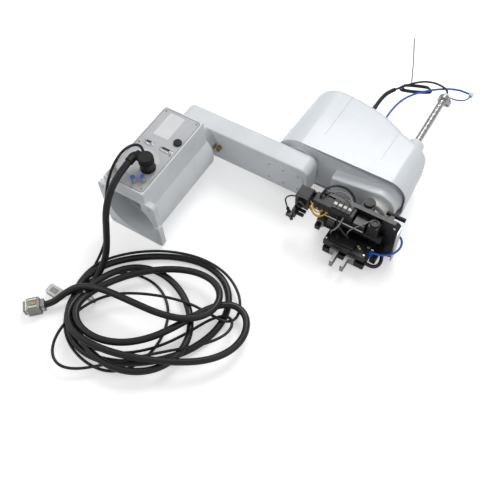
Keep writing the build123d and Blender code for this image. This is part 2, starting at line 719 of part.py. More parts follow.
# Second joint's motor
with BuildPart() as j2_motor:
    column(ARM2_TOP, ARM2_TOP + J2_MOTOR_H, J2_MOTOR_R, ARM1_REACH)
    chamfer(j2_motor.edges().group_by(Axis.Y)[-1], 3 * EDGE_BREAK)
save(j2_motor, "j2_motor")

# Stroke motor, below the bridge, with its shaft through it
with BuildPart() as j3_motor:
    with BuildSketch(level(ARM2_TOP)):
        with Locations(J3_MOTOR_AT):
            RectangleRounded(MOTOR_W, MOTOR_W, MOTOR_CORNER)
    extrude(amount=ARM2_TOP - BRIDGE_LOW)
save(j3_motor, "j3_motor")

# Turning motor, on top of the bridge
with BuildPart() as j4_motor:
    with BuildSketch(level(BRIDGE_TOP)):
        with Locations(J4_MOTOR_AT):
            RectangleRounded(MOTOR_W, MOTOR_W, MOTOR_CORNER)
    extrude(amount=-J4_MOTOR_H)
save(j4_motor, "j4_motor")

# Pulleys on the two motors, each with the shaft that carries it
with BuildPart() as j3_motor_pulley:
    column(BRIDGE_LOW + JOINT_GAP, SCREW_NUT_PULLEY_LOW, MOTOR_SHAFT_R, *J3_MOTOR_AT)
    column(SCREW_NUT_PULLEY_LOW, SCREW_NUT_PULLEY_LOW + PULLEY_H, MOTOR_PULLEY_R, *J3_MOTOR_AT)
save(j3_motor_pulley, "j3_motor_pulley")
with BuildPart() as j4_motor_pulley:
    column(SPLINE_NUT_PULLEY_LOW, BRIDGE_TOP - JOINT_GAP, MOTOR_SHAFT_R, *J4_MOTOR_AT)
    column(SPLINE_NUT_PULLEY_LOW, SPLINE_NUT_PULLEY_LOW + PULLEY_H, MOTOR_PULLEY_R, *J4_MOTOR_AT)
save(j4_motor_pulley, "j4_motor_pulley")

# Nuts on the shaft, each with its sleeve in the casting and its pulley
with BuildPart() as spline_nut_pulley:
    column(KEEL_LOW, SPLINE_NUT_PULLEY_LOW, SPLINE_NUT_R, SHAFT_X)
    column(SPLINE_NUT_PULLEY_LOW, SPLINE_NUT_PULLEY_LOW + PULLEY_H, NUT_PULLEY_R, SHAFT_X)
    nut_top = SPLINE_NUT_PULLEY_LOW + PULLEY_H
    column(KEEL_LOW, nut_top, SHAFT_R + RUNNING_GAP, SHAFT_X, mode=Mode.SUBTRACT)
save(spline_nut_pulley, "spline_nut_pulley")
with BuildPart() as screw_nut_pulley:
    column(BRIDGE_LOW, SCREW_NUT_PULLEY_LOW, SCREW_NUT_R, SHAFT_X)
    column(SCREW_NUT_PULLEY_LOW, SCREW_NUT_PULLEY_LOW + PULLEY_H, NUT_PULLEY_R, SHAFT_X)
    nut_top = SCREW_NUT_PULLEY_LOW + PULLEY_H
    column(BRIDGE_LOW, nut_top, SHAFT_R + RUNNING_GAP, SHAFT_X, mode=Mode.SUBTRACT)
save(screw_nut_pulley, "screw_nut_pulley")

# Toothed belts round the pulleys, shown as plain bands
belt_runs = ((J3_MOTOR_AT, SCREW_NUT_PULLEY_LOW), (J4_MOTOR_AT, SPLINE_NUT_PULLEY_LOW))
with BuildPart() as drive_belts:
    for grow, belt_mode in ((BELT_T, Mode.ADD), (0, Mode.SUBTRACT)):
        for motor_at, pulley_low in belt_runs:
            with BuildSketch(level(pulley_low + (PULLEY_H - BELT_W) / 2)):
                with Locations(motor_at):
                    Circle(MOTOR_PULLEY_R + JOINT_GAP + grow)
                with Locations((SHAFT_X, 0)):
                    Circle(NUT_PULLEY_R + JOINT_GAP + grow)
                make_hull()
            extrude(amount=-BELT_W, mode=belt_mode)
save(drive_belts, "drive_belts")

# Seal ring under the keel, round the shaft
with BuildPart() as spline_seal_ring:
    column(KEEL_LOW - SEAL_RING_H, KEEL_LOW, SEAL_RING_R, SHAFT_X)
    chamfer(spline_seal_ring.edges().group_by(Axis.Y)[0], 2 * EDGE_BREAK)
    window_r = SHAFT_R + SHAFT_WINDOW_GAP
    column(KEEL_LOW - SEAL_RING_H, KEEL_LOW, window_r, SHAFT_X, mode=Mode.SUBTRACT)
save(spline_seal_ring, "spline_seal_ring")

# Three things that stand on the cover: cable socket, air fitting and lamp
with BuildPart() as cover_connector:
    neck_low = TOP_PLUG_TOP - TOP_PLUG_NECK_H
    column(TOP_ROOT_Y, neck_low, TOP_PLUG_R, TOP_PLUG_X, TOP_ROW_Z)
    column(neck_low, TOP_PLUG_TOP, TOP_PLUG_NECK_R, TOP_PLUG_X, TOP_ROW_Z)
    chamfer(cover_connector.edges().group_by(Axis.Y)[-1], EDGE_BREAK)
    add(cover_outside.part, mode=Mode.SUBTRACT)
save(cover_connector, "cover_connector")
with BuildPart() as cover_fitting:
    top_collar_low = TOP_FITTING_TOP - TOP_COLLAR_H
    column(TOP_ROOT_Y, top_collar_low, TOP_FITTING_R, TOP_FITTING_X, TOP_ROW_Z)
    column(top_collar_low, TOP_FITTING_TOP, COLLAR_R, TOP_FITTING_X, TOP_ROW_Z)
    add(cover_outside.part, mode=Mode.SUBTRACT)
save(cover_fitting, "cover_fitting")
with BuildPart() as status_lamp:
    column(TOP_ROOT_Y, LAMP_TOP, LAMP_R, LAMP_X, TOP_ROW_Z)
    fillet(status_lamp.edges().group_by(Axis.Y)[-1], LAMP_ROUND)
    add(cover_outside.part, mode=Mode.SUBTRACT)
save(status_lamp, "status_lamp")

# Hollow shaft with straight ball tracks
with BuildPart() as spline_shaft:
    column(SHAFT_LOW, SHAFT_TOP, SHAFT_R, SHAFT_X)
    with BuildSketch(level(HAND_TOP + HUB_H)):
        with Locations((SHAFT_X, 0)):
            with PolarLocations(SHAFT_R, SPLINES, start_angle=90):
                Rectangle(2 * SPLINE_DEPTH, SPLINE_W)
    extrude(amount=HAND_TOP + HUB_H - SHAFT_TOP + CLAMP_H + CLAMP_BELOW_TOP, mode=Mode.SUBTRACT)
    chamfer(spline_shaft.edges().group_by(Axis.Y)[-1], EDGE_BREAK)
    column(SHAFT_LOW, SHAFT_TOP, SHAFT_BORE_R, SHAFT_X, mode=Mode.SUBTRACT)
save(spline_shaft, "spline_shaft")

# Clamp at the shaft's top
clamp_top = SHAFT_TOP - CLAMP_BELOW_TOP
with BuildPart() as shaft_top_collar:
    with BuildSketch(level(clamp_top - CLAMP_H)):
        with Locations((SHAFT_X, 0)):
            Circle(CLAMP_R)
        with Locations((SHAFT_X + CLAMP_EAR_AT[0], CLAMP_EAR_AT[1])):
            Circle(CLAMP_EAR_R)
        make_hull()
        with Locations((SHAFT_X, 0)):
            Circle(SHAFT_R + RUNNING_GAP, mode=Mode.SUBTRACT)
        with Locations((SHAFT_X + CLAMP_EAR_AT[0], CLAMP_EAR_AT[1])):
            Circle(CLAMP_EAR_R / 2, mode=Mode.SUBTRACT)
    extrude(amount=-CLAMP_H)
save(shaft_top_collar, "shaft_top_collar")

# Bush that stands still in the shaft's bore and guides the cable and the air tube
bush_low = SHAFT_TOP + JOINT_GAP
bush_top = bush_low + BUSH_FLANGE_H
port_y = bush_low + BUSH_FLANGE_H / 2
with BuildPart() as guide_bush:
    column(bush_low, bush_top, BUSH_FLANGE_R, SHAFT_X)
    column(SHAFT_TOP - BUSH_PLUG_H, bush_low, SHAFT_BORE_R - RUNNING_GAP, SHAFT_X)
    with BuildSketch(Plane(origin=(SHAFT_X, port_y, 0), z_dir=(1, 0, 0))):
        Circle(BUSH_PORT_R)
    extrude(amount=BUSH_FLANGE_R + BUSH_PORT_L)
save(guide_bush, "guide_bush")

# Hub that clamps the hand to the shaft
with BuildPart() as tool_hub:
    column(HAND_TOP, HAND_TOP + HUB_H, HUB_R, SHAFT_X)
    chamfer(tool_hub.edges().group_by(Axis.Y)[-1], 2 * EDGE_BREAK)
    column(SHAFT_LOW, HAND_TOP + HUB_H, SHAFT_R + RUNNING_GAP, SHAFT_X, mode=Mode.SUBTRACT)
save(tool_hub, "tool_hub")

# Hand's plate, with the web that carries the gripper
with BuildPart() as tool_frame:
    with BuildSketch(level(HAND_LOW)):
        with Locations(((HAND_X[0] + HAND_X[1]) / 2, (HAND_Z[0] + HAND_Z[1]) / 2)):
            RectangleRounded(HAND_X[1] - HAND_X[0], HAND_Z[1] - HAND_Z[0], HAND_CORNER)
    extrude(amount=-HAND_PLATE_T)
    block(WEB_X, (GRIPPER_Y[1], HAND_LOW), WEB_Z)
save(tool_frame, "tool_frame")

# Camera with its lens barrel
eye_middle = ((EYE_X[0] + EYE_X[1]) / 2, (EYE_Z[0] + EYE_Z[1]) / 2)
with BuildPart() as camera_box:
    block(EYE_X, EYE_Y, EYE_Z)
    chamfer(camera_box.edges().filter_by(Axis.Y), 2 * EDGE_BREAK)
    column(EYE_Y[0] - EYE_LENS_H, EYE_Y[0], EYE_LENS_R, *eye_middle)
    column(EYE_Y[0] - EYE_LENS_H, EYE_Y[0] - EYE_LENS_H / 2, EYE_GLASS_R, *eye_middle, mode=Mode.SUBTRACT)
save(camera_box, "camera_box")

# Valve block with its row of small valves
with BuildPart() as valve_block:
    block(VALVE_X, (VALVE_LOW, HAND_LOW), VALVE_Z)
    with BuildSketch(Plane.XY.offset(VALVE_Z[1])):
        with Locations((VALVE_X_MIDDLE, (VALVE_LOW + HAND_LOW) / 2)):
            with GridLocations(VALVE_PITCH, 0, VALVE_COUNT, 1):
                Rectangle(VALVE_PITCH - VALVE_GAP, HAND_LOW - VALVE_LOW - 2)
    extrude(amount=VALVE_H)
save(valve_block, "valve_block")

# Turning motor of the hand, lying on the plate on its own foot
with BuildPart() as turn_motor:
    with BuildSketch(Plane.XY.offset(TURN_MOTOR_Z[0])):
        with Locations((TURN_MOTOR_X, HAND_TOP + TURN_MOTOR_R)):
            Circle(TURN_MOTOR_R)
        with Locations((TURN_MOTOR_X, HAND_TOP + TURN_MOTOR_R / 2)):
            Rectangle(2 * TURN_MOTOR_R, TURN_MOTOR_R)
    extrude(amount=TURN_MOTOR_Z[1] - TURN_MOTOR_Z[0])
    stud((TURN_MOTOR_X, HAND_TOP + TURN_MOTOR_R), TURN_MOTOR_Z[1], TURN_MOTOR_Z[1] + TURN_CAP_H, TURN_CAP_R)
save(turn_motor, "turn_motor")

# Gripper body with the slot that its jaws slide in
gripper_z = (GRIPPER_Z[0] + GRIPPER_Z[1]) / 2
slot_z = (gripper_z - SLOT_W / 2, gripper_z + SLOT_W / 2)
with BuildPart() as gripper_body:
    block(GRIPPER_X, GRIPPER_Y, GRIPPER_Z)
    fillet(gripper_body.edges().filter_by(Axis.Y), GRIPPER_ROUND)
    block(GRIPPER_X, (GRIPPER_Y[0], GRIPPER_Y[0] + SLOT_DEPTH), slot_z, mode=Mode.SUBTRACT)
save(gripper_body, "gripper_body")

# Jaws: a tongue in the slot and a stepped finger below
jaw_middle = (GRIPPER_X[0] + GRIPPER_X[1]) / 2
tongue_z = (slot_z[0] + JOINT_GAP, slot_z[1] - JOINT_GAP)
for jaw_label, side in (("jaw_left", -1), ("jaw_right", 1)):
    inner = jaw_middle + side * JAW_OPEN / 2
    outer = inner + side * JAW_L
    tip = inner + side * JAW_FINGER_T
    with BuildPart() as jaw:
        base_low = GRIPPER_Y[0] - JOINT_GAP - JAW_FINGER_T
        block(sorted((inner, outer)), (base_low, GRIPPER_Y[0] + SLOT_DEPTH - JOINT_GAP), tongue_z)
        jaw_z = (gripper_z - JAW_W / 2, gripper_z + JAW_W / 2)
        block(sorted((inner, outer)), (base_low, GRIPPER_Y[0] - JOINT_GAP), jaw_z)
        block(sorted((inner, tip)), (JAW_LOW, base_low), jaw_z)
    save(jaw, jaw_label)

# Aluminium brackets of the hand: camera arm, end plate, air cylinder and sensor stands
pen_axis = Vector(*PEN_END) - Vector(*PEN_TOP)
pen_plane = Plane(origin=PEN_TOP, z_dir=pen_axis.normalized())
pen_middle = Vector(*PEN_TOP) + pen_axis / 2
with BuildPart() as tool_brackets:
    block((EYE_X[0], EYE_ARM_X), (EYE_Y[1], HAND_LOW), EYE_ARM_Z)
    block((VALVE_X[0], EYE_ARM_X), (EYE_Y[1], HAND_LOW), EYE_ARM_Z, mode=Mode.SUBTRACT)
    block(END_PLATE_X, (HAND_TOP, HAND_TOP + END_PLATE_H), END_PLATE_Z)
    with BuildSketch(Plane(origin=(CYLINDER_X[0], HAND_LOW - CYLINDER_R, CYLINDER_Z), z_dir=(1, 0, 0))):
        Circle(CYLINDER_R)
    extrude(amount=CYLINDER_X[1] - CYLINDER_X[0])
    block(PROBE_FOOT_X, PROBE_FOOT_Y, (PROBE_FOOT_LOW, EYE_Z[0]))
    clamp_y = (pen_middle.Y - PEN_CLAMP_W / 2, pen_middle.Y + PEN_CLAMP_W / 2)
    block((pen_middle.X - PEN_CLAMP_W / 2, PROBE_FOOT_X[0]), clamp_y, (PROBE_FOOT_LOW, PROBE_FOOT_LOW / 2))
    with BuildSketch(pen_plane):
        Circle(PEN_R + RUNNING_GAP)
    extrude(amount=pen_axis.length, mode=Mode.SUBTRACT)
    stand_z = (SIDE_SENSOR_Z - SIDE_SENSOR_R, SIDE_SENSOR_Z + SIDE_SENSOR_R)
    block(SIDE_STAND_X, (HAND_TOP, HAND_TOP + SIDE_STAND_H), stand_z)
save(tool_brackets, "tool_brackets")

# Sensors of the hand
sensor_y = HAND_TOP + SIDE_STAND_H + SIDE_SENSOR_R
with BuildPart() as sensor_probes:
    with BuildSketch(pen_plane):
        Circle(PEN_R)
    extrude(amount=pen_axis.length)
    with BuildSketch(Plane(origin=(PROBE_FOOT_X[1], 0, 0), x_dir=(0, 1, 0), z_dir=(1, 0, 0))):
        with Locations((BARREL_Y[0], BARREL_Z), (BARREL_Y[1], BARREL_Z)):
            Circle(BARREL_R)
    extrude(amount=BARREL_L)
    with BuildSketch(Plane(origin=(SIDE_SENSOR_X[0], sensor_y, SIDE_SENSOR_Z), z_dir=(1, 0, 0))):
        Circle(SIDE_SENSOR_R)
    extrude(amount=SIDE_SENSOR_X[1] - SIDE_SENSOR_X[0])
save(sensor_probes, "sensor_probes")

# Small air fittings of the hand
with BuildPart() as tool_fittings:
    for port_x in VALVE_PORT_X:
        column(VALVE_LOW - PORT_H, VALVE_LOW, PORT_R, port_x, sum(VALVE_Z) / 2)
    for port_x in GRIPPER_PORT_X:
        port_at = (port_x, (GRIPPER_Y[0] + GRIPPER_Y[1]) / 2)
        stud(port_at, GRIPPER_Z[1], GRIPPER_Z[1] + PORT_H, PORT_R)
save(tool_fittings, "tool_fittings")

# Power cable: from the elbow, down past the flange and along the floor to the coil
POWER_ROUTE = (
    ELBOW_EXIT,
    (-5, 17, 163),
    (-6, -18, 150),
    (-6, -48, 125),
    (-5, -71, 90),
    (-2, -87, 49),
    (2, -104, 9),
    (4, -122, -26),
    (3, -145, -53),
    (0, -175, -72),
    (-4, -210, -80.9),
)
PLUG_MIDDLE = (-85.0, -325.0)
PLUG_SIZE = (58.0, 36.0)
PLUG_TOP = -50.0
PLUG_TURN = -16.6
LEAD_Z = -72.0
LEAD_L = 20.5
lead_middle = Location((*PLUG_MIDDLE, LEAD_Z), (0, 0, PLUG_TURN))
lead_origin = lead_middle * Location((PLUG_SIZE[0] / 2, 0, 0), (0, 90, 0))
with BuildPart() as power_cable:
    lay_tube("power_cable", POWER_ROUTE, POWER_CABLE_D)
    with BuildSketch(Plane(lead_origin)):
        Circle(POWER_CABLE_D / 2)
    extrude(amount=LEAD_L)
save(power_cable, "power_cable")

# Signal cable: up out of its gland, over the elbow and down beside the power cable
SIGNAL_ROUTE = (
    (SIGNAL_GLAND_AT[0], SIGNAL_GLAND_AT[1], PLATE_FACE + SIGNAL_GLAND_H),
    (-8, 107.6, 156),
    (-9.5, 102.9, 170.8),
    (-12, 93.6, 182.6),
    (-16, 80.5, 190),
    (-20, 64, 192),
    (-24, 44, 188),
    (-27, 18, 174),
    (-28, -8, 150),
    (-27, -29, 121),
    (-24, -46, 86),
    (-22, -59, 46),
    (-22, -74, 6),
    (-24, -94, -30),
    (-27, -119, -58),
    (-29, -148, -76),
    (-28, -178, -84),
    (-26, -210, -86.2),
)
SIGNAL_PLUG_X = (-92.0, -50.0)
SIGNAL_PLUG_Y = (-276.0, -248.0)
SIGNAL_PLUG_TOP = -74.0
SIGNAL_LEAD_END = -37.8
signal_lead_at = (SIGNAL_PLUG_X[1], sum(SIGNAL_PLUG_Y) / 2, (FLOOR_Z + SIGNAL_PLUG_TOP) / 2)
with BuildPart() as signal_cable:
    lay_tube("signal_cable", SIGNAL_ROUTE, SIGNAL_CABLE_D)
    with BuildSketch(Plane(origin=signal_lead_at, z_dir=(1, 0, 0))):
        Circle(SIGNAL_CABLE_D / 2)
    extrude(amount=SIGNAL_LEAD_END - SIGNAL_PLUG_X[1])
save(signal_cable, "signal_cable")

# Both cables' coil on the floor: one flat body with the outline of the turns
COIL_LEFT = ((-12, -376), (-44, -358), (-33, -320), (-38, -270), (-34, -210), (12, -210))
COIL_ROUND = (
    (12, -210),
    (22, -134),
    (66, -74),
    (118, -24),
    (170, 6),
    (226, 28),
    (283, 38),
    (332, 14),
    (362, -40),
    (380, -100),
    (378, -150),
    (364, -212),
    (344, -268),
    (308, -322),
    (262, -358),
    (212, -378),
    (164, -390),
    (128, -414),
    (100, -436),
    (62, -434),
    (24, -408),
    (-12, -376),
)
COIL_HOLE = (
    (42, -262),
    (62, -196),
    (112, -140),
    (180, -104),
    (252, -88),
    (304, -116),
    (304, -186),
    (262, -258),
    (190, -316),
    (110, -336),
    (56, -314),
)
with BuildPart() as cable_coil:
    with BuildSketch(Plane.XY.offset(FLOOR_Z)):
        with BuildLine():
            Polyline(*COIL_LEFT)
            Spline(*COIL_ROUND)
        make_face()
        with BuildLine():
            Spline(*COIL_HOLE, periodic=True)
        make_face(mode=Mode.SUBTRACT)
    extrude(amount=COIL_TOP - FLOOR_Z)
save(cable_coil, "cable_coil")

# Tie round the bundle at the coil's left side
TIE_X = (-36.0, 40.0)
TIE_Y = (-233.0, -225.0)
TIE_T = 1.5
with BuildPart() as coil_tie:
    block(TIE_X, TIE_Y, (COIL_TOP, COIL_TOP + TIE_T))
save(coil_tie, "coil_tie")

# Hooded power plug, on a short end of the cable beside the coil
plug_plane = Plane.XY.offset(FLOOR_Z) * Location((*PLUG_MIDDLE, 0), (0, 0, PLUG_TURN))
with BuildPart() as power_plug:
    with BuildSketch(plug_plane):
        RectangleRounded(*PLUG_SIZE, 3)
    extrude(amount=PLUG_TOP - FLOOR_Z)
    fillet(power_plug.edges().group_by(Axis.Z)[-1], 2)
save(power_plug, "power_plug")

# Signal plug
with BuildPart() as signal_plug:
    block(SIGNAL_PLUG_X, SIGNAL_PLUG_Y, (FLOOR_Z, SIGNAL_PLUG_TOP))
    chamfer(signal_plug.edges().filter_by(Axis.Z).group_by(Axis.X)[-1], 7)
save(signal_plug, "signal_plug")

# Cable above the cover: a thick sleeve, then the thin cable to the bush in the shaft
SLEEVE_ROUTE = (
    (TOP_PLUG_X, TOP_PLUG_TOP, TOP_ROW_Z),
    (396, 678, 17),
    (397, 704, 14),
    (401, 730, 10),
    (411, 754, 5),
)
TOP_CABLE_ROUTE = (
    SLEEVE_ROUTE[-1],
    (420, 774, 0),
    (433, 797, -3),
    (452, 822, -4),
    (477, 839, -3),
    (504, 845, -2),
    (528, 841, -1),
    (544, 832, 0),
    (SHAFT_X, 822, 0),
    (SHAFT_X, bush_top + RUNNING_GAP, 0),
)
with BuildPart() as top_cable:
    lay_tube("top_sleeve", SLEEVE_ROUTE, SLEEVE_D)
    lay_tube("top_cable", TOP_CABLE_ROUTE, TOP_CABLE_D)
save(top_cable, "top_cable")

# Spare loops of the thin cable as one flat body, with their tie's long tail standing up
HANK_OUTLINE = ((409, 790), (417, 766), (446, 786), (478, 796), (506, 808), (511, 824), (484, 826), (440, 818))
HANK_Z = (-13.6, -7.6)
TAIL_FOOT = (441.0, 812.5, -8.0)
TAIL_TIP = (436.0, 852.0, 133.0)
TAIL_R = 1.2
tail_axis = Vector(*TAIL_TIP) - Vector(*TAIL_FOOT)
with BuildPart() as top_hank:
    with BuildSketch(Plane.XY.offset(HANK_Z[0])):
        with BuildLine():
            Spline(*HANK_OUTLINE, periodic=True)
        make_face()
    extrude(amount=HANK_Z[1] - HANK_Z[0])
    with BuildSketch(Plane(origin=TAIL_FOOT, z_dir=tail_axis.normalized())):
        Circle(TAIL_R)
    extrude(amount=tail_axis.length)
save(top_hank, "top_hank")

# Air tube above the cover, with the union that turns it back to the bush
UNION_X = (604.0, 616.0)
UNION_Y = (857.0, 870.0)
UNION_Z = (-19.0, -9.0)
TOP_TUBE_ROUTE = (
    (TOP_FITTING_X, TOP_FITTING_TOP, TOP_ROW_Z),
    (441, 656, 17),
    (443, 690, 13),
    (449, 724, 9),
    (462, 757, 5),
    (484, 790, 1),
    (512, 822, -4),
    (545, 850, -9),
    (574, 864, -13),
    (590, 865, -14),
    (UNION_X[0], 865, -14),
)
with BuildPart() as tube_union:
    block(UNION_X, UNION_Y, UNION_Z)
    fillet(tube_union.edges().filter_by(Axis.Z), 3)
save(tube_union, "tube_union")
TOP_THIN_ROUTE = (
    (610, UNION_Y[0], -14),
    (609, 844, -13),
    (603, 830, -10),
    (593, 817, -5),
    (580, port_y, 0),
    (SHAFT_X + BUSH_FLANGE_R + BUSH_PORT_L + RUNNING_GAP, port_y, 0),
)
with BuildPart() as top_tube:
    lay_tube("top_tube", TOP_TUBE_ROUTE, AIR_TUBE_D)
    lay_tube("top_thin_tube", TOP_THIN_ROUTE, THIN_TUBE_D)
save(top_tube, "top_tube")

# Tubes of the hand, from the gripper to the end plate
BLUE_ROUTE = (
    (GRIPPER_X[1], 238, -38),
    (608, 239, -37),
    (630, 247, -36),
    (648, 264, -34),
    (655, 285, -30),
    (650, 302, -23),
    (638, 308, -18),
    (END_PLATE_X[1], 308, -18),
)
HOSE_ROUTE = (
    (GRIPPER_X[1], 216, -62),
    (606, 215, -65),
    (621, 224, -67),
    (625, 241, -64),
    (617, 260, -58),
    (610, 270, -55),
    (610, HAND_LOW, -55),
)

# Cables of the hand: sensor loop, yellow camera cable and grey valve cable
pen_back = Vector(*PEN_TOP) - pen_axis.normalized() * 10
SENSOR_ROUTE = (
    (EYE_X[0], 258, 26),
    (354, 258, 24),
    (340, 254, 20),
    (333, 243, 16),
    (pen_back.X, pen_back.Y, pen_back.Z),
    PEN_TOP,
)
YELLOW_ROUTE = (
    (EYE_X[1], 246, 22),
    (412, 243, 19),
    (424, 236, 14),
    (437, 237, 11),
    (446, 250, 12),
    (449, 266, 13),
    (449, HAND_LOW, 13),
)
GREY_ROUTE = (
    (500, VALVE_LOW, 38),
    (500, 241, 36),
    (498, 232, 25),
    (492, 228, 9),
    (483, 229, -6),
    (478, 232, -17),
    (478, 232, GRIPPER_Z[1]),
)
with BuildPart() as tool_cables:
    lay_tube("air_tube", BLUE_ROUTE, AIR_TUBE_D)
    lay_tube("gripper_hose", HOSE_ROUTE, GRIPPER_HOSE_D)
    lay_tube("sensor_cable", SENSOR_ROUTE, THIN_TUBE_D)
    lay_tube("camera_cable", YELLOW_ROUTE, THIN_TUBE_D)
    lay_tube("valve_cable", GREY_ROUTE, THIN_TUBE_D)
save(tool_cables, "tool_cables")
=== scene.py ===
from math import cos, pi, radians, sin

import bmesh
import bpy
import numpy as np
from mathutils import Matrix, Vector


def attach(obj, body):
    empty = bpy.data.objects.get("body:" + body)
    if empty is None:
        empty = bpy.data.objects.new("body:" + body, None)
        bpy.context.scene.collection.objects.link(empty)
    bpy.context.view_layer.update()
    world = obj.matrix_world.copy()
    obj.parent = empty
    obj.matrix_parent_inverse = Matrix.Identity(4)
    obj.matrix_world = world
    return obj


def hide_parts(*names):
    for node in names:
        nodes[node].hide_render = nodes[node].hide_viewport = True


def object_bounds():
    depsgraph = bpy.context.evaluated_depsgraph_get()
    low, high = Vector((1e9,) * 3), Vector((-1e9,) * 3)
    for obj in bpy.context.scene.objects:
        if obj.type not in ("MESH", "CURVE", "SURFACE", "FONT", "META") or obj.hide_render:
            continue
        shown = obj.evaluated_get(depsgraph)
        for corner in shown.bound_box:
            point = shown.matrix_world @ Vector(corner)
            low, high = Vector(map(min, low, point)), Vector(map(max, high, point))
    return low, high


# Four-axis robot arm lying on its side, with its cables in loose turns on the floor.
# Lengths are in millimetres and turned into metres where a mesh, curve or lamp is made.
MM = 0.001

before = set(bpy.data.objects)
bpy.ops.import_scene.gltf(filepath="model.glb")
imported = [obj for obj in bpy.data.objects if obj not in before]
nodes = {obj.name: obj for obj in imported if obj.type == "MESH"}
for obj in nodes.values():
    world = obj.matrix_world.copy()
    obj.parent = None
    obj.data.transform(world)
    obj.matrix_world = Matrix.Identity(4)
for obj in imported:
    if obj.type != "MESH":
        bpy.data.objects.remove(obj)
cad_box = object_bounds()
FLOOR_Z = cad_box[0].z / MM

# Cable diameters
POWER_D = 18.0
SIGNAL_D = 7.5
SLEEVE_D = 12.0
HOSE_D = 10.0
TUBE_D = 6.0
HANK_D = 4.6
THIN_D = 4.0
TIE_D = 3.4
WIRE_D = 3.0

LENGTH_SAMPLES = 60  # points per control point where a cable's length is measured
TURNED_EDGE = 0.2  # rounding of turned pieces' edges

# Noise scales, in waves per metre
BLOTCHES, SHEEN, ORANGE_PEEL = 14, 30, 650
METAL_SHEEN, MOULD_BLOTCHES, MOULD_SHEEN = 40, 22, 50


# Materials

def shader(name, colour, rough, metal=0.0, coat=0.0):
    """New material with its uniform values set on the shader: (material, node tree, shader)."""
    material = bpy.data.materials.new(name)
    material.use_nodes = True
    tree = material.node_tree
    bsdf = tree.nodes["Principled BSDF"]
    bsdf.inputs["Base Color"].default_value = (*colour, 1)
    bsdf.inputs["Roughness"].default_value = rough
    bsdf.inputs["Metallic"].default_value = metal
    bsdf.inputs["Coat Weight"].default_value = coat
    bsdf.inputs["Coat Roughness"].default_value = 0.12
    return material, tree, bsdf


def noise(tree, scale, detail=4.0, stretch=(1, 1, 1)):
    """Noise texture in the object's own coordinates."""
    place = tree.nodes.new("ShaderNodeTexCoord")
    mapping = tree.nodes.new("ShaderNodeMapping")
    mapping.inputs["Scale"].default_value = stretch
    texture = tree.nodes.new("ShaderNodeTexNoise")
    texture.inputs["Scale"].default_value = scale
    texture.inputs["Detail"].default_value = detail
    tree.links.new(place.outputs["Object"], mapping.inputs["Vector"])
    tree.links.new(mapping.outputs["Vector"], texture.inputs["Vector"])
    return texture.outputs["Fac"]


def spread(tree, source, low, high, colour_low, colour_high):
    """Colour ramp from one colour to another over part of a texture's range."""
    ramp = tree.nodes.new("ShaderNodeValToRGB")
    ramp.color_ramp.elements[0].position = low
    ramp.color_ramp.elements[1].position = high
    ramp.color_ramp.elements[0].color = (*colour_low, 1)
    ramp.color_ramp.elements[1].color = (*colour_high, 1)
    tree.links.new(source, ramp.inputs["Fac"])
    return ramp.outputs["Color"]


def mottle(tree, bsdf, source, low, high, colour, fade):
    """Base colour that fades where a texture is low."""
    dull = [channel * fade for channel in colour]
    tree.links.new(spread(tree, source, low, high, dull, colour), bsdf.inputs["Base Color"])


def vary_rough(tree, bsdf, source, low, high):
    """Roughness that follows a texture."""
    span = tree.nodes.new("ShaderNodeMapRange")
    span.inputs["To Min"].default_value = low
    span.inputs["To Max"].default_value = high
    tree.links.new(source, span.inputs["Value"])
    tree.links.new(span.outputs["Result"], bsdf.inputs["Roughness"])


def bump(tree, bsdf, source, strength, depth):
    """Bump from a texture, with its depth in millimetres."""
    node = tree.nodes.new("ShaderNodeBump")
    node.inputs["Strength"].default_value = strength
    node.inputs["Distance"].default_value = depth * MM
    tree.links.new(source, node.inputs["Height"])
    tree.links.new(node.outputs["Normal"], bsdf.inputs["Normal"])


def painted(name, colour, rough=0.42, coat=0.15, grime=0.93):
    """Stove enamel on a casting: orange peel, and faint handling marks."""
    material, tree, bsdf = shader(name, colour, rough, coat=coat)
    mottle(tree, bsdf, noise(tree, BLOTCHES), 0.35, 0.6, colour, grime)
    vary_rough(tree, bsdf, noise(tree, SHEEN), rough - 0.08, rough + 0.1)
    bump(tree, bsdf, noise(tree, ORANGE_PEEL, 2), 0.25, 0.15)
    return material


def metal(name, colour, rough=0.3, stretch=(1, 1, 1), scale=240.0):
    """Machined metal, with tool marks along one way."""
    material, tree, bsdf = shader(name, colour, rough, metal=1.0)
    marks = noise(tree, scale, 3, stretch)
    mottle(tree, bsdf, marks, 0.3, 0.7, colour, 0.8)
    vary_rough(tree, bsdf, noise(tree, METAL_SHEEN), rough - 0.07, rough + 0.12)
    bump(tree, bsdf, marks, 0.15, 0.1)
    return material


def moulded(name, colour, rough=0.5, coat=0.0, grain=900.0, depth=0.1, fade=0.85):
    """Moulded plastic or rubber: fine grain, and a slightly uneven sheen."""
    material, tree, bsdf = shader(name, colour, rough, coat=coat)
    mottle(tree, bsdf, noise(tree, MOULD_BLOTCHES), 0.35, 0.65, colour, fade)
    vary_rough(tree, bsdf, noise(tree, MOULD_SHEEN), rough - 0.08, rough + 0.1)
    bump(tree, bsdf, noise(tree, grain, 2), 0.3, depth)
    return material


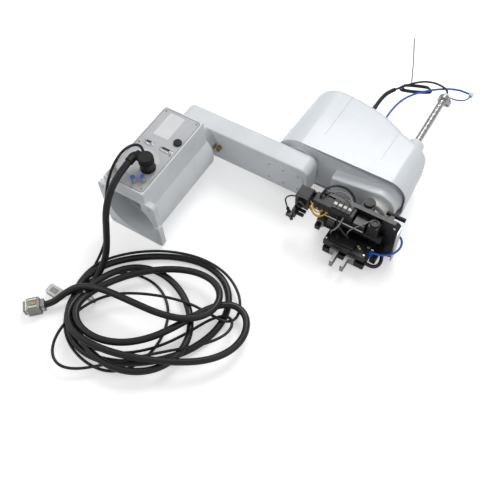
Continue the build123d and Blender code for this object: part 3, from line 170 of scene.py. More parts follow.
paint = painted("paint_grey_white", (0.8, 0.83, 0.86))
arm_paint = painted("paint_arm", (0.76, 0.79, 0.82))
panel_paint = painted("paint_panel", (0.58, 0.59, 0.62), 0.36)
cover_white = moulded("cover_white", (0.78, 0.82, 0.86), 0.3, 0.35, 300, 0.05, 0.97)
aluminium = metal("aluminium", (0.78, 0.79, 0.8), 0.32)
turned = metal("turned_steel", (0.6, 0.6, 0.6), 0.22, (1, 30, 1), 60)
bronze = metal("bronze", (0.42, 0.26, 0.12), 0.35)
brass = metal("brass", (0.62, 0.44, 0.16), 0.28)
bright = metal("bright_metal", (0.8, 0.8, 0.8), 0.18)
anodised = moulded("anodised_black", (0.009, 0.009, 0.01), 0.36, 0.1, 1200, 0.05)
plastic_black = moulded("plastic_black", (0.01, 0.01, 0.011), 0.42)
motor_black = moulded("motor_black", (0.016, 0.016, 0.018), 0.45)
rubber_black = moulded("rubber_black", (0.014, 0.014, 0.016), 0.6, grain=500)
cable_black = moulded("cable_black", (0.008, 0.0085, 0.011), 0.4, 0.1, 260, 0.12)
plastic_white = moulded("plastic_white", (0.8, 0.8, 0.77), 0.45)
tube_blue = moulded("tube_blue", (0.01, 0.13, 0.62), 0.25, 0.3, 120, 0.03)
cable_yellow = moulded("cable_yellow", (0.62, 0.36, 0.02), 0.45)
cable_grey = moulded("cable_grey", (0.3, 0.3, 0.3), 0.5)
lamp_red = moulded("lamp_red", (0.5, 0.02, 0.015), 0.15, 0.4, 100, 0.02)
plate_silver = moulded("plate_silver", (0.8, 0.81, 0.82), 0.35, 0.2, 500, 0.03, 0.95)
nickel = metal("nickel_plate", (0.68, 0.64, 0.56), 0.3)
cable_plate_metal = moulded("plate_cast", (0.72, 0.73, 0.75), 0.33, 0.2, 420, 0.05, 0.9)
tie_grey = moulded("tie_grey", (0.4, 0.4, 0.4), 0.5)
plug_grey = metal("plug_grey", (0.42, 0.42, 0.41), 0.45)

DRESS = {
    paint: ("base_casting",),
    arm_paint: ("arm_1_casting", "arm_1_cover", "arm_2_casting"),
    panel_paint: ("connector_panel",),
    cover_white: ("arm_2_cover",),
    aluminium: ("j1_reducer", "j2_reducer", "tool_hub"),
    cable_plate_metal: ("cable_plate",),
    nickel: ("push_fittings", "cover_fitting"),
    turned: (
        "spline_shaft", "shaft_top_collar", "screw_nut_pulley", "spline_nut_pulley", "j3_motor_pulley",
        "j4_motor_pulley", "panel_screws", "arm_1_screws",
    ),
    bronze: ("stop_pin",),
    brass: ("tool_fittings",),
    bright: ("user_connector_9", "user_connector_15"),
    plug_grey: ("power_plug", "jaw_left", "jaw_right"),
    plate_silver: ("nameplate",),
    anodised: ("camera_box", "gripper_body", "tool_frame", "tool_brackets"),
    plastic_black: (
        "power_connector", "power_elbow", "signal_gland", "brake_button", "cover_connector", "valve_block",
        "sensor_probes",
    ),
    motor_black: ("j1_motor", "j2_motor", "j3_motor", "j4_motor", "turn_motor"),
    rubber_black: ("panel_gasket", "drive_belts"),
    cable_black: (
        "power_cable", "signal_cable", "cable_coil", "coil_tie", "top_cable", "top_hank", "tool_cables",
    ),
    plastic_white: ("guide_bush", "spline_seal_ring", "signal_plug", "tube_union"),
    tube_blue: ("top_tube",),
    lamp_red: ("status_lamp",),
}
for material, labels in DRESS.items():
    for label in labels:
        node = nodes[label]
        if not node.data.materials:
            node.data.materials.append(material)
        for holder in node.material_slots:
            holder.material = material


# Camera and light

# The camera is fitted to the photograph: place in millimetres, directions, sensor and lens
CAMERA_AT = (839.9, -653.7, 1439.4)
CAMERA_RIGHT = (0.8504, 0.5248, -0.0376)
CAMERA_UP = (-0.4315, 0.7365, 0.5210)
CAMERA_BACK = (0.3011, -0.4268, 0.8527)
SENSOR_W, LENS = 36, 47.52

# Lamps: name, place and target in metres, size and power
LAMPS = (
    ("key", (0.1, 1.9, 2.3), (0.3, 0.2, 0), 1.3, 34),
    ("fill", (2.4, -0.2, 1.9), (0.4, 0.3, 0), 1.8, 9),
    ("side", (-1.7, -0.6, 1.7), (0.3, 0.3, 0), 1.6, 10),
)
FLOOR_GLOW = 0.42  # added where the camera sees the floor
WORLD_LIGHT, WORLD_SEEN = 0.42, 1.0


def look():
    """Camera at the photograph's viewing angle."""
    camera = bpy.data.objects.new("camera", bpy.data.cameras.new("camera"))
    bpy.context.scene.collection.objects.link(camera)
    turn = Matrix((CAMERA_RIGHT, CAMERA_UP, CAMERA_BACK)).transposed().to_4x4()
    camera.matrix_world = Matrix.Translation(Vector(CAMERA_AT) * MM) @ turn
    camera.data.sensor_width = SENSOR_W
    camera.data.lens = LENS
    camera.data.clip_end = 50
    bpy.context.scene.camera = camera


def light(name, at, target, size, power):
    """Soft square lamp at a point, turned to another."""
    lamp = bpy.data.lights.new(name, "AREA")
    lamp.size = size
    lamp.energy = power
    holder = bpy.data.objects.new(name, lamp)
    holder.location = at
    holder.rotation_euler = (Vector(target) - Vector(at)).to_track_quat("-Z", "Y").to_euler()
    bpy.context.scene.collection.objects.link(holder)


def stage_floor():
    """Pale floor, half a millimetre under the object."""
    size, drop = 8.0, 0.5
    mesh = bpy.data.meshes.new("floor")
    low = (FLOOR_Z - drop) * MM
    corners = [(-size, -size, low), (size, -size, low), (size, size, low), (-size, size, low)]
    mesh.from_pydata(corners, [], [(0, 1, 2, 3)])
    floor = bpy.data.objects.new("floor", mesh)
    bpy.context.scene.collection.objects.link(floor)
    material, tree, bsdf = shader("floor_pale", (0.9, 0.9, 0.9), 0.7)
    bsdf.inputs["Specular IOR Level"].default_value = 0.1
    tree.links.new(spread(tree, noise(tree, 3), 0.3, 0.7, (0.89, 0.89, 0.89), (0.91, 0.91, 0.91)),
                   bsdf.inputs["Base Color"])
    rays = tree.nodes.new("ShaderNodeLightPath")
    glow = tree.nodes.new("ShaderNodeMath")
    glow.operation = "MULTIPLY"
    glow.inputs[1].default_value = FLOOR_GLOW
    tree.links.new(rays.outputs["Is Camera Ray"], glow.inputs[0])
    bsdf.inputs["Emission Color"].default_value = (1, 1, 1, 1)
    tree.links.new(glow.outputs[0], bsdf.inputs["Emission Strength"])
    mesh.materials.append(material)


def white_world():
    """World that lights softly and looks white to the camera and through clear parts."""
    world = bpy.data.worlds.new("studio")
    bpy.context.scene.world = world
    world.use_nodes = True
    tree = world.node_tree
    sky = tree.nodes["Background"]
    sky.inputs["Color"].default_value = (1, 1, 1, 1)
    rays = tree.nodes.new("ShaderNodeLightPath")
    seen = tree.nodes.new("ShaderNodeMath")
    seen.operation = "MAXIMUM"
    tree.links.new(rays.outputs["Is Camera Ray"], seen.inputs[0])
    tree.links.new(rays.outputs["Is Transmission Ray"], seen.inputs[1])
    level = tree.nodes.new("ShaderNodeMapRange")
    level.inputs["To Min"].default_value = WORLD_LIGHT
    level.inputs["To Max"].default_value = WORLD_SEEN
    tree.links.new(seen.outputs[0], level.inputs["Value"])
    tree.links.new(level.outputs["Result"], sky.inputs["Strength"])


look()
stage_floor()
for lamp in LAMPS:
    light(*lamp)
white_world()
bpy.context.scene.view_settings.view_transform = "Standard"


# Cables: routes in millimetres, from the connector panel to the plugs
POWER_DROP = (
    (-5, 50, 166), (-5, 17, 163), (-6, -18, 150), (-6, -48, 125), (-5, -71, 90), (-2, -87, 49),
    (2, -104, 9), (4, -122, -26), (3, -145, -53), (0, -175, -72), (-4, -210, -80.9),
)
SIGNAL_DROP = (
    (-8, 108, 140.5), (-8, 107.6, 156), (-9.5, 102.9, 170.8), (-12, 93.6, 182.6), (-16, 80.5, 190),
    (-20, 64, 192), (-24, 44, 188), (-27, 18, 174), (-28, -8, 150), (-27, -29, 121), (-24, -46, 86),
    (-22, -59, 46), (-22, -74, 6), (-24, -94, -30), (-27, -119, -58), (-29, -148, -76),
    (-28, -178, -84), (-26, -210, -86.2),
)

# Loose turns, traced from above: settle() lays each cable over what is under it
POWER_TURNS = (
    (-13, -240), (-24, -268), (-16, -319), (31, -358), (104, -376), (174, -361), (236, -319), (291, -266),
    (335, -203), (356, -123), (347, -48), (300, 14), (226, 30), (137, -8), (65, -71), (19, -125),
    (-7, -191), (-19, -246), (4, -307), (71, -349), (151, -372), (217, -369), (294, -322), (334, -255),
    (332, -181), (282, -122), (208, -73), (121, -56), (48, -83), (10, -141), (-11, -212), (-17, -274),
    (14, -336), (98, -358), (184, -338), (263, -296), (330, -268), (392, -240), (436, -190), (448, -122),
    (418, -58), (354, -36), (302, -72), (286, -136), (280, -200), (250, -258), (204, -308), (126, -342),
    (58, -328), (10, -284), (8, -222), (42, -160), (96, -105), (159, -52), (230, -20), (305, -21),
    (348, -68), (344, -147), (303, -197), (235, -207), (147, -200), (70, -210), (22, -240), (-8, -262),
)
POWER_END = ((-50, -293, -70), (-64, -305, -72))
SIGNAL_TURNS = (
    (-21, -238), (-26, -298), (25, -355), (127, -376), (190, -382), (236, -350), (249, -286), (250, -209),
    (228, -138), (174, -96), (97, -94), (31, -121), (-5, -175), (-23, -237), (-14, -296), (53, -346),
    (135, -350), (217, -307), (271, -252), (300, -190), (312, -120), (352, -78), (404, -96), (420, -150),
    (384, -200), (322, -232), (262, -266), (204, -315), (150, -362), (124, -414), (85, -438), (38, -412),
    (14, -359), (10, -292), (30, -222), (69, -184), (139, -170), (211, -135), (270, -98), (320, -100),
    (356, -126), (386, -112), (388, -68), (352, -18), (299, 30), (211, 31), (106, -8), (49, -70),
    (8, -138), (-15, -208),
)
SIGNAL_END = ((-29, -245, -84), (-50, -262, -82))


def follow(count, samples):
    """Matrix that turns the control points of a second-degree curve into points along it."""
    spans = count - 2
    weights = np.zeros((samples, count))
    knots = np.concatenate([[0, 0], np.arange(spans + 1), [spans, spans]]).astype(float)
    for row, u in enumerate(np.linspace(0, spans - 1e-9, samples)):
        k = int(u) + 2
        a, b, c, d = knots[k - 1], knots[k], knots[k + 1], knots[k + 2]
        w1 = (c - u) / (c - b)
        left = w1 * (c - u) / (c - a)
        right = (1 - w1) * (u - b) / (d - b)
        weights[row, k - 2:k + 1] = left, 1 - left - right, right
    return weights


def bending(count):
    """Matrix that gives the second differences of a row of control points."""
    rows = np.zeros((count - 2, count))
    for k in range(count - 2):
        rows[k, k:k + 3] = 1, -2, 1
    return rows


def diagonal(blocks):
    """One matrix with the blocks down its diagonal."""
    whole = np.zeros((sum(len(b) for b in blocks), sum(b.shape[1] for b in blocks)))
    row = column = 0
    for block in blocks:
        whole[row:row + len(block), column:column + block.shape[1]] = block
        row, column = row + len(block), column + block.shape[1]
    return whole


# Settling. Lengths are in millimetres.
SETTLE_STEPS = 420
SAMPLE_GAP = 7.0  # between the points along a cable that are kept clear of each other
NEAR_SELF = 3.2  # points of one cable nearer than this many diameters along it may be close
CLEARANCE = 1.04  # distance between two cables, over the sum of their radii
LIFT, LIFT_BELOW = 25, 15  # how far a cable's end starts above its beginning, and which points are lifted
PUSH_FIRST, PUSH_MORE, PUSH_FULL_AT = 0.3, 5.0, 0.6  # push between cables, and when it is strongest
FLOOR_PUSH, FLOOR_GAP = 8, 0.1
KEEP_XY, KEEP_LOW = 0.02, 0.006  # pull back to the traced line, and down to the floor
STIFF_XY, STIFF_Z = 0.06, 0.7
SPEED_MIX, SCALE_MIX = (0.9, 0.1), (0.98, 0.02)
RATE_FALL, RATE_END = 0.9, 0.02
SCALE_LEAST = 1e-3


def settle(ropes):
    """Lays ropes, each (points, fixed points, radius), on the floor and over each other."""
    starts = [np.array(points, float) for points, _, _ in ropes]
    samples = [int(np.linalg.norm(np.diff(points, axis=0), axis=1).sum() / SAMPLE_GAP) for points in starts]
    weights = diagonal([follow(len(points), count) for points, count in zip(starts, samples)])
    stiff = diagonal([bending(len(points)) for points in starts])
    radii = np.concatenate([np.full(count, radius) for (_, _, radius), count in zip(ropes, samples)])
    which = np.repeat(np.arange(len(ropes)), samples)
    place = np.concatenate([np.arange(count) for count in samples])
    held = np.concatenate([
        np.isin(np.arange(len(points)), [f % len(points) for f in fixed]) for points, fixed, _ in ropes
    ])
    rest_z = FLOOR_Z + np.concatenate([np.full(len(points), radius) for points, _, radius in ropes])
    order = np.concatenate([np.linspace(0, 1, len(points)) for points in starts])
    start = np.vstack(starts)

    both = radii[:, None] + radii[None, :]
    near = np.abs(place[:, None] - place[None, :]) * SAMPLE_GAP < NEAR_SELF * both
    apart = ~((which[:, None] == which[None, :]) & near)
    watched = np.triu(np.ones_like(apart), 1) & apart
    need = both * CLEARANCE

    points = start.copy()
    points[~held, 2] += LIFT * order[~held] * (start[~held, 2] < FLOOR_Z + LIFT_BELOW)
    speed, scale = np.zeros_like(points), np.zeros_like(points)
    for step in range(SETTLE_STEPS):
        line = weights @ points
        close = watched.copy()
        for axis in range(3):
            close &= np.abs(line[:, None, axis] - line[None, :, axis]) < need
        i, j = np.nonzero(close)
        gap = line[i] - line[j]
        far = np.linalg.norm(gap, axis=1) + 1e-9
        over = np.maximum(need[i, j] - far, 0)
        push = PUSH_FIRST + PUSH_MORE * min(step / (PUSH_FULL_AT * SETTLE_STEPS), 1)
        pull = (-2 * push * over / far)[:, None] * gap
        force = np.zeros_like(line)
        np.add.at(force, i, pull)
        np.add.at(force, j, -pull)
        force[:, 2] -= FLOOR_PUSH * np.maximum(FLOOR_Z + radii + FLOOR_GAP - line[:, 2], 0)
        slope = weights.T @ force
        slope[:, :2] += 2 * KEEP_XY * (points - start)[:, :2]
        slope[:, 2] += 2 * KEEP_LOW * (points[:, 2] - rest_z)
        bend = stiff @ points
        slope[:, :2] += STIFF_XY * (stiff.T @ bend[:, :2])
        slope[:, 2] += STIFF_Z * (stiff.T @ bend[:, 2])
        slope[held] = 0
        speed = SPEED_MIX[0] * speed + SPEED_MIX[1] * slope
        scale = SCALE_MIX[0] * scale + SCALE_MIX[1] * slope ** 2
        rate = RATE_FALL * (1 - step / SETTLE_STEPS) + RATE_END
        points -= rate * speed / (np.sqrt(scale) + SCALE_LEAST)
    ends = np.cumsum([len(points) for points in starts])[:-1]
    return [part.tolist() for part in np.split(points, ends)]


def line_length(points):
    """Length in metres of the smooth line through a route's control points."""
    line = follow(len(points), LENGTH_SAMPLES * len(points)) @ np.array(points, float)
    return float(np.linalg.norm(np.diff(line, axis=0), axis=1).sum()) * MM


def metres(point):
    """A point in millimetres, in metres."""
    return [c * MM for c in point]


def add_piece(name, data, material, body, stands_for=()):
    """Object of one material that rides on a body and may stand for CAD nodes."""
    data.materials.append(material)
    piece = bpy.data.objects.new(name, data)
    bpy.context.scene.collection.objects.link(piece)
    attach(piece, body)
    if stands_for:
        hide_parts(*stands_for)
    return piece


def rope(name, points, diameter, material, body, stands_for, fine=6):
    """Round cable on a smooth line through a route's control points, with fine steps between each two."""
    curve = bpy.data.curves.new(name, "CURVE")
    curve.dimensions = "3D"
    curve.bevel_depth = diameter / 2 * MM
    curve.bevel_resolution = 4
    curve.resolution_u = fine
    curve.use_fill_caps = True
    spline = curve.splines.new("NURBS")
    spline.points.add(len(points) - 1)
    for point, at in zip(spline.points, points):
        point.co = (*metres(at), 1)
    spline.order_u = 3
    spline.use_endpoint_u = True
    piece = add_piece(name, curve, material, body)
    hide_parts(*stands_for)
    return piece


def flat(turns, radius):
    """Turns as points just off the floor."""
    return [(x, y, FLOOR_Z + radius) for x, y in turns]


power_start = [*POWER_DROP, *flat(POWER_TURNS, POWER_D / 2), *POWER_END]
signal_start = [*SIGNAL_DROP, *flat(SIGNAL_TURNS, SIGNAL_D / 2), *SIGNAL_END]
power_route, signal_route = settle((
    (power_start, (*range(len(POWER_DROP)), -2, -1), POWER_D / 2),
    (signal_start, (*range(len(SIGNAL_DROP)), -2, -1), SIGNAL_D / 2),
))
power_rope = rope("power_cord", power_route, POWER_D, cable_black, "base", ("power_cable", "cable_coil"))
signal_rope = rope("signal_cord", signal_route, SIGNAL_D, cable_black, "base", ("signal_cable",))

# Cables and tubes on the second arm's cover, then those of the hand
TOP_SLEEVE = ((396, 655, 18), (396, 678, 17), (397, 704, 14), (401, 730, 10), (411, 754, 5))
TOP_CABLE = (
    (411, 754, 5), (420, 774, 0), (433, 797, -3), (452, 822, -4), (477, 839, -3), (504, 845, -2),
    (528, 841, -1), (544, 832, 0), (550, 822, 0), (550, 812.35, 0),
)
TOP_TUBE = (
    (441, 628, 18), (441, 656, 17), (443, 690, 13), (449, 724, 9), (462, 757, 5), (484, 790, 1),
    (512, 822, -4), (545, 850, -9), (574, 864, -13), (590, 865, -14), (604, 865, -14),
)
TOP_THIN = (
    (610, 857, -14), (609, 844, -13), (603, 830, -10), (593, 817, -5), (580, 807.8, 0), (567.55, 807.8, 0),
)
BLUE = (
    (590, 238, -38), (608, 239, -37), (630, 247, -36), (648, 264, -34), (655, 285, -30), (650, 302, -23),
    (638, 308, -18), (626, 308, -18),
)
HOSE = (
    (590, 216, -62), (606, 215, -65), (621, 224, -67), (625, 241, -64), (617, 260, -58), (610, 270, -55),
    (610, 280, -55),
)
SENSOR = ((366, 258, 26), (354, 258, 24), (340, 254, 20), (333, 243, 16), (342, 233, 9.5), (348, 230, 0))
YELLOW = (
    (404, 246, 22), (412, 243, 19), (424, 236, 14), (437, 237, 11), (446, 250, 12), (449, 266, 13),
    (449, 280, 13),
)
YELLOW_NEAR = (
    (404, 250, 44), (413, 243, 47), (422, 231, 47), (433, 228, 44), (440, 233, 40), (442, 243, 38),
)
YELLOW_FAR = (
    (404, 244, 34), (414, 236, 39), (427, 222, 43), (443, 219, 43), (454, 229, 40), (456, 243, 38),
)
GREY = (
    (500, 250, 38), (500, 241, 36), (498, 232, 25), (492, 228, 9), (483, 229, -6), (478, 232, -17),
    (478, 232, -26),
)
GREY_LONG = (
    (592, 318, 22), (584, 300, 40), (570, 272, 50), (552, 250, 44), (530, 238, 26), (520, 236, 0),
    (520, 240, -26),
)
GREY_ARC = (
    (512, 268, 62), (512, 270, 70), (500, 290, 76), (476, 300, 72), (450, 296, 64), (440, 284, 58),
    (438, 276, 54),
)
BLACK_ARC = (
    (425, 266, 56), (425, 268, 66), (430, 287, 74), (447, 310, 72), (475, 321, 62), (498, 314, 50),
    (508, 301, 44), (508, 291, 40),
)
BLACK_LOW = (
    (532, 248, -40), (531, 234, -20), (520, 228, 2), (500, 232, 18), (488, 240, 26), (482, 252, 30),
)
SHORT_CORDS = (
    ("tool_yellow_near", YELLOW_NEAR, THIN_D, cable_yellow, "z_shaft", "tool_cables", "limp"),
    ("tool_yellow_far", YELLOW_FAR, THIN_D, cable_yellow, "z_shaft", "tool_cables", "limp"),
    ("tool_black_arc", BLACK_ARC, TUBE_D, cable_black, "z_shaft", "tool_cables", "limp"),
    ("tool_black_low", BLACK_LOW, TUBE_D, cable_black, "z_shaft", "tool_cables", "limp"),
    ("tool_grey_long", GREY_LONG, WIRE_D, cable_grey, "z_shaft", "tool_cables", "limp"),
    ("tool_grey_arc", GREY_ARC, WIRE_D, cable_grey, "z_shaft", "tool_cables", "limp"),
    ("top_sleeve_cord", TOP_SLEEVE, SLEEVE_D, cable_black, "arm_2", "top_cable", "medium"),
    ("top_thin_cord", TOP_CABLE, TUBE_D, cable_black, "arm_2", "top_cable", "limp"),
    ("top_air_tube", TOP_TUBE, TUBE_D, tube_blue, "arm_2", "top_tube", "medium"),
    ("top_thin_tube", TOP_THIN, THIN_D, tube_blue, "arm_2", "top_tube", "medium"),
    ("tool_blue_tube", BLUE, TUBE_D, tube_blue, "z_shaft", "tool_cables", "limp"),
    ("tool_hose", HOSE, HOSE_D, cable_black, "z_shaft", "tool_cables", "limp"),
    ("tool_sensor_cord", SENSOR, THIN_D, cable_black, "z_shaft", "tool_cables", "limp"),
    ("tool_yellow_cord", YELLOW, THIN_D, cable_yellow, "z_shaft", "tool_cables", "limp"),
    ("tool_grey_cord", GREY, THIN_D, cable_grey, "z_shaft", "tool_cables", "limp"),
)
for name, route, diameter, material, body, stands_for, stiffness in SHORT_CORDS:
    piece = rope(name, route, diameter, material, body, (stands_for,), fine=12)
    line_length(route)


# Pieces built in mesh code

def mesh_piece(name, verts, faces, material, body, stands_for=()):
    """Smooth-shaded piece from points in millimetres and faces."""
    mesh = bpy.data.meshes.new(name)
    mesh.from_pydata([metres(v) for v in verts], [], faces)
    mesh.validate()
    for polygon in mesh.polygons:
        polygon.use_smooth = True
    return add_piece(name, mesh, material, body, stands_for)


def turned_piece(name, axis_at, along, profile, material, body, stands_for=(), sides=48, wave=None):
    """Closed turned piece: profile of (place along the axis, radius), axis along X, Y or Z."""
    verts, faces = [], []
    for place, radius in profile:
        for k in range(sides):
            a = 2 * pi * k / sides
            r = wave(place, a, radius) if wave else radius
            u, v = r * cos(a), r * sin(a)
            around = {"X": (place, u, v), "Y": (u, place, v), "Z": (u, v, place)}[along]
            verts.append([c + d for c, d in zip(axis_at, around)])
    facing = -1 if along == "Y" else 1
    last = (len(profile) - 1) * sides
    for low in range(0, last, sides):
        for k in range(sides):
            n = (k + 1) % sides
            faces.append((low + k, low + n, low + sides + n, low + sides + k)[::facing])
    faces.append(list(range(sides))[::-facing])
    faces.append(list(range(last, last + sides))[::facing])
    piece = mesh_piece(name, verts, faces, material, body, stands_for)
    bevel = piece.modifiers.new("edge", "BEVEL")
    bevel.width = TURNED_EDGE * MM
    bevel.segments = 2
    bevel.limit_method = "ANGLE"
    bevel.harden_normals = True
    return piece


def brick(name, low, high, material, body, round_off=0.8, stands_for=()):
    """Block between two corners with rounded edges."""
    block = bmesh.new()
    bmesh.ops.create_cube(block, size=1)
    for vert in block.verts:
        vert.co = Vector([(l + (c + 0.5) * (h - l)) * MM for l, h, c in zip(low, high, vert.co)])
    bmesh.ops.bevel(
        block, geom=block.edges[:], offset=round_off * MM, segments=3, affect="EDGES", profile=0.5)
    mesh = bpy.data.meshes.new(name)
    block.to_mesh(mesh)
    block.free()
    return add_piece(name, mesh, material, body, stands_for)


# Ball screw spline shaft with its helical and straight tracks, and its end bore
SHAFT_X, SHAFT_LOW, SHAFT_TOP, SHAFT_R, SHAFT_BORE_R = 550.0, 294.0, 803.0, 10.0, 6.0
SHAFT_BREAK, SHAFT_BORE_H, SHAFT_SIDES = 0.6, 16, 72
TRACK_LOW, TRACK_HIGH = 330, 784
LEAD, HELIX_W, SPLINE_W, TRACK_DEPTH, SPLINE_COUNT = 20.0, 5.0, 4.0, 1.0, 3


def tracks(place, angle, radius):
    """Radius of the shaft where its tracks are cut."""
    if radius < SHAFT_R or not TRACK_LOW < place < TRACK_HIGH:
        return radius
    phase = (place / LEAD + angle / (2 * pi)) % 1.0
    offsets = [min(phase, 1 - phase) * LEAD / (HELIX_W / 2)]
    for k in range(SPLINE_COUNT):
        side = (angle - pi / 2 - 2 * pi * k / SPLINE_COUNT + pi) % (2 * pi) - pi
        offsets.append(side * SHAFT_R / (SPLINE_W / 2))
    return radius - TRACK_DEPTH * max(max(0.0, 1 - offset * offset) ** 0.5 for offset in offsets)


shaft_profile = [(SHAFT_LOW, SHAFT_BORE_R), (SHAFT_LOW, SHAFT_R)]
shaft_profile += [(SHAFT_LOW + 1 + k, SHAFT_R) for k in range(int(SHAFT_TOP - SHAFT_LOW) - 1)]
shaft_profile += [
    (SHAFT_TOP, SHAFT_R - SHAFT_BREAK), (SHAFT_TOP, SHAFT_BORE_R), (SHAFT_TOP - SHAFT_BORE_H, SHAFT_BORE_R),
]
turned_piece("shaft_with_tracks", (SHAFT_X, 0, 0), "Y", shaft_profile, turned, "z_shaft", ("spline_shaft",),
             SHAFT_SIDES, tracks)

# White faces of the small valves
VALVE_COUNT, VALVE_MIDDLE, VALVE_PITCH, VALVE_HALF_W = 4, 489, 13.5, 4.5
VALVE_Y, VALVE_Z = (261, 269), (61.5, 62.6)
for k in range(VALVE_COUNT):
    x = VALVE_MIDDLE + VALVE_PITCH * (k - (VALVE_COUNT - 1) / 2)
    low, high = ((x + side * VALVE_HALF_W, y, z) for side, y, z in zip((-1, 1), VALVE_Y, VALVE_Z))
    brick(f"valve_face_{k}", low, high, plastic_white, "z_shaft", 0.3)

# Small blocks of the hand
for name, low, high, material in (
    ("hand_regulator", (528, 246, 6), (560, 279.5, 42), anodised),
    ("hand_relay", (566, 252, 8), (594, 279.5, 48), plastic_black),
    ("hand_side_plate", (639.5, 264, -78), (643, 291, 48), aluminium),
    ("hand_stop_block", (430, 240, -34), (450, 279.5, -8), aluminium),
    ("hand_stop_foot", (432, 226, -30), (446, 241, -12), anodised),
    ("hand_sensor_block", (462, 236, -2), (484, 252, 18), anodised),
    ("hand_sensor_label", (464, 238, 17.6), (482, 250, 18.6), nickel),
    ("hand_lower_block", (596, 226, -66), (612, 279.5, -44), anodised),
    ("hand_blue_joint", (589.5, 230, -46), (600, 243, -33), tube_blue),
    ("gripper_cover", (486, 210, -26.5), (552, 240, -21), plastic_black),
    ("camera_lid", (369, 241, 61.5), (401, 273, 63.2), motor_black),
):
    brick(name, low, high, material, "z_shaft")

# Its screws under the plate and on the gripper, a guide rod and a dial: profiles of (place, radius)
PLATE_SCREW = ((276.2, 2.4), (276.2, 3.4), (276.8, 4.0), (280.5, 4.0))
PLATE_SCREWS_AT = ((432, -78), (628, -78), (628, 48), (600, -70), (470, -78))
GRIPPER_SCREW = ((-26.5, 3.2), (-23.6, 3.2), (-23, 2.6))
GRIPPER_SCREWS_AT = ((476, 213), (584, 213), (476, 241), (584, 241), (566, 226))
GUIDE_ROD = ((452, 1.6), (452.6, 2.2), (559, 2.2), (559.6, 1.6))
DIAL = ((61, 12), (66, 12), (67, 11), (67, 7), (64.5, 6))
for number, (x, z) in enumerate(PLATE_SCREWS_AT):
    turned_piece(f"hand_screw_{number}", (x, 0, z), "Y", PLATE_SCREW, bright, "z_shaft", sides=24)
for number, (x, y) in enumerate(GRIPPER_SCREWS_AT):
    turned_piece(f"gripper_screw_{number}", (x, y, 0), "Z", GRIPPER_SCREW, bright, "z_shaft", sides=24)
turned_piece("hand_guide_rod", (0, 243, 26), "X", GUIDE_ROD, bright, "z_shaft", sides=24)
turned_piece("hand_dial", (580, 266, -14), "Z", DIAL, plastic_black, "z_shaft", sides=40)

# Stacked rings of the power connector and its elbow: radii, height, and where each starts
for name, axis_at, along, inner, outer, height, lows in (
    ("connector_ring", (28, 77, 0), "Z", 18, 20.2, 2.2, (131.5, 134.8, 158.5, 162.0, 170.5)),
    ("elbow_ring", (0, 77, 167), "X", 11, 12.9, 2.4, (-1.0, 3.2, 7.4)),
):
    for number, low in enumerate(lows):
        ring = ((low, inner), (low, outer), (low + height, outer), (low + height, inner))
        turned_piece(f"{name}_{number}", axis_at, along, ring, rubber_black, "base")

# Dark faces of the user connectors: middle in X, and half the length
FACE_Y, FACE_Z = (147.4, 152.6), (130.5, 132.5)
for number, (x, half) in enumerate(((-23, 7.5), (31, 11.5))):
    low, high = ((x + side * half, y, z) for side, y, z in zip((-1, 1), FACE_Y, FACE_Z))
    brick(f"connector_face_{number}", low, high, rubber_black, "base", 0.5)

# Metal hood of the power plug, in the plug's own directions and turned along its cable
HOOD_AT, HOOD_TURN = Vector((-85, -325, -90)), Matrix.Rotation(radians(43.3), 4, "Z")
HOOD_PARTS = (
    ("hood_body", (-16, -18, 1), (17, 18, 37), plug_grey, 3, ("power_plug",)),
    ("hood_neck", (16, -12.5, 5), (28, 12.5, 32), plug_grey, 2.5, ()),
    ("hood_flange", (-19, -17.5, 1), (-15.5, 17.5, 36), bright, 0.8, ()),
    ("hood_shell", (-27, -14.5, 7), (-18, 14.5, 31), plug_grey, 1.5, ()),
    ("hood_insert", (-27.6, -12, 10), (-26, 12, 28), rubber_black, 0.8, ()),
    ("hood_rib_low", (-12, -13, 36.5), (12, -8, 39), bright, 0.8, ()),
    ("hood_rib_high", (-12, 8, 36.5), (12, 13, 39), bright, 0.8, ()),
    ("hood_latch", (-6, -4.5, 36.5), (8, 4.5, 38.4), brass, 0.8, ()),
    ("hood_clamp", (19, -14.5, 9), (25, 14.5, 27), bright, 0.8, ()),
)
for name, low, high, material, round_off, stands_for in HOOD_PARTS:
    piece = brick(name, low, high, material, "base", round_off, stands_for)
    piece.data.transform(Matrix.Translation(HOOD_AT * MM) @ HOOD_TURN)

# Latch and nose of the white signal plug
brick("signal_latch", (-84, -269, -74.4), (-62, -255, -72.6), plug_grey, "base", 0.6)
brick("signal_nose", (-95.5, -273, -88.5), (-91.5, -251, -76), plug_grey, "base")

# Release collars of the air fittings on the panel
COLLAR = ((148.2, 3.2), (148.2, 6.2), (150.6, 6.2), (151.2, 5.6), (151.2, 3.2))
for number, (x, y, material) in enumerate(((20, 27, tube_blue), (40, 40, tube_blue), (-42, 31, bright))):
    turned_piece(f"release_collar_{number}", (x, y, -2.6), "Z", COLLAR, material, "base")

# Strap round the cable bundle, which lies along Y there: the hull is (X, Z) round it
STRAP_T, STRAP_Y = 1.4, (-236, -229)
STRAP_HULL = (
    (-37, -88.5), (-40, -80), (-36, -62), (-20, -47), (5, -42), (28, -46), (42, -60), (44, -76), (40, -88.5),
)


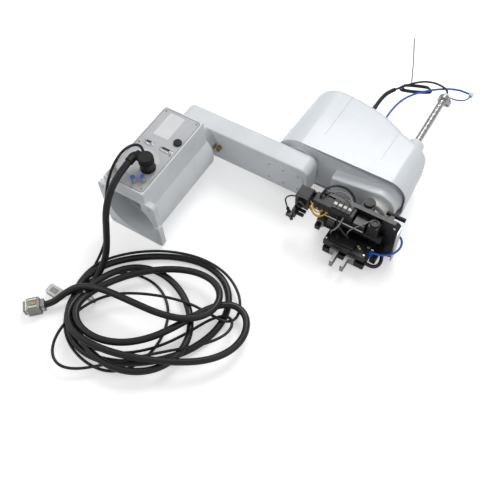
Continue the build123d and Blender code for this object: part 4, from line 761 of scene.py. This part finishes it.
def strap(name, hull, y_low, y_high, material):
    """Flat closed band with a hull of (X, Z)."""
    centre = Vector((sum(x for x, z in hull) / len(hull), sum(z for x, z in hull) / len(hull)))
    verts, faces = [], []
    for x, z in hull:
        inner = Vector((x, z)) + (centre - Vector((x, z))).normalized() * STRAP_T
        verts += [(x, y_low, z), (x, y_high, z), (inner.x, y_high, inner.y), (inner.x, y_low, inner.y)]
    for k in range(len(hull)):
        a, b = 4 * k, 4 * ((k + 1) % len(hull))
        for e in range(4):
            f = (e + 1) % 4
            faces.append((a + e, b + e, b + f, a + f))
    piece = mesh_piece(name, verts, faces, material, "base", ("coil_tie",))
    smooth = piece.modifiers.new("round", "SUBSURF")
    smooth.levels = smooth.render_levels = 2


strap("bundle_strap", STRAP_HULL, *STRAP_Y, plastic_white)

# Spare loops of the thin cable on the cover: long loops, each a little shorter and higher than the last
LOOPS, LOOP_POINTS, LOOP_SHRINK = 3, 14, 0.09
LOOP_STRAIGHT, LOOP_END_R, LOOP_BLUNT = 32.5, 14.5, 1.6
HANK_AT, HANK_ALONG = (460, 803, -15.5), (0.93, 0.36)
HANK_RISE, HANK_WAVE, HANK_PHASE = 10.4, 1.4, 0.6


def hank_point(k):
    """Point of the loops, counted from their start."""
    a = 2 * pi * k / LOOP_POINTS
    straight = LOOP_STRAIGHT * max(-1, min(1, LOOP_BLUNT * cos(a)))
    along = (straight + LOOP_END_R * cos(a)) * (1 - LOOP_SHRINK * (k // LOOP_POINTS))
    across = LOOP_END_R * sin(a)
    c, s = HANK_ALONG
    x, y, z = HANK_AT
    rise = HANK_RISE * k / LOOP_POINTS / LOOPS + HANK_WAVE * cos(a + HANK_PHASE)
    return x + c * along - s * across, y + s * along + c * across, z + rise


hank_route = [hank_point(k) for k in range(LOOPS * LOOP_POINTS)]
hank = rope("top_hank_cord", hank_route, HANK_D, cable_black, "arm_2", ("top_hank",), fine=10)

# Long tail of the tie round those loops
TIE_TAIL = ((441, 812.5, -8), (434, 819, 32), (426, 827, 75), (412, 838, 133))
tail = rope("tie_tail", TIE_TAIL, TIE_D, tie_grey, "arm_2", (), fine=8)

line_length(TIE_TAIL)
line_length(hank_route)
line_length(power_route)
line_length(signal_route)
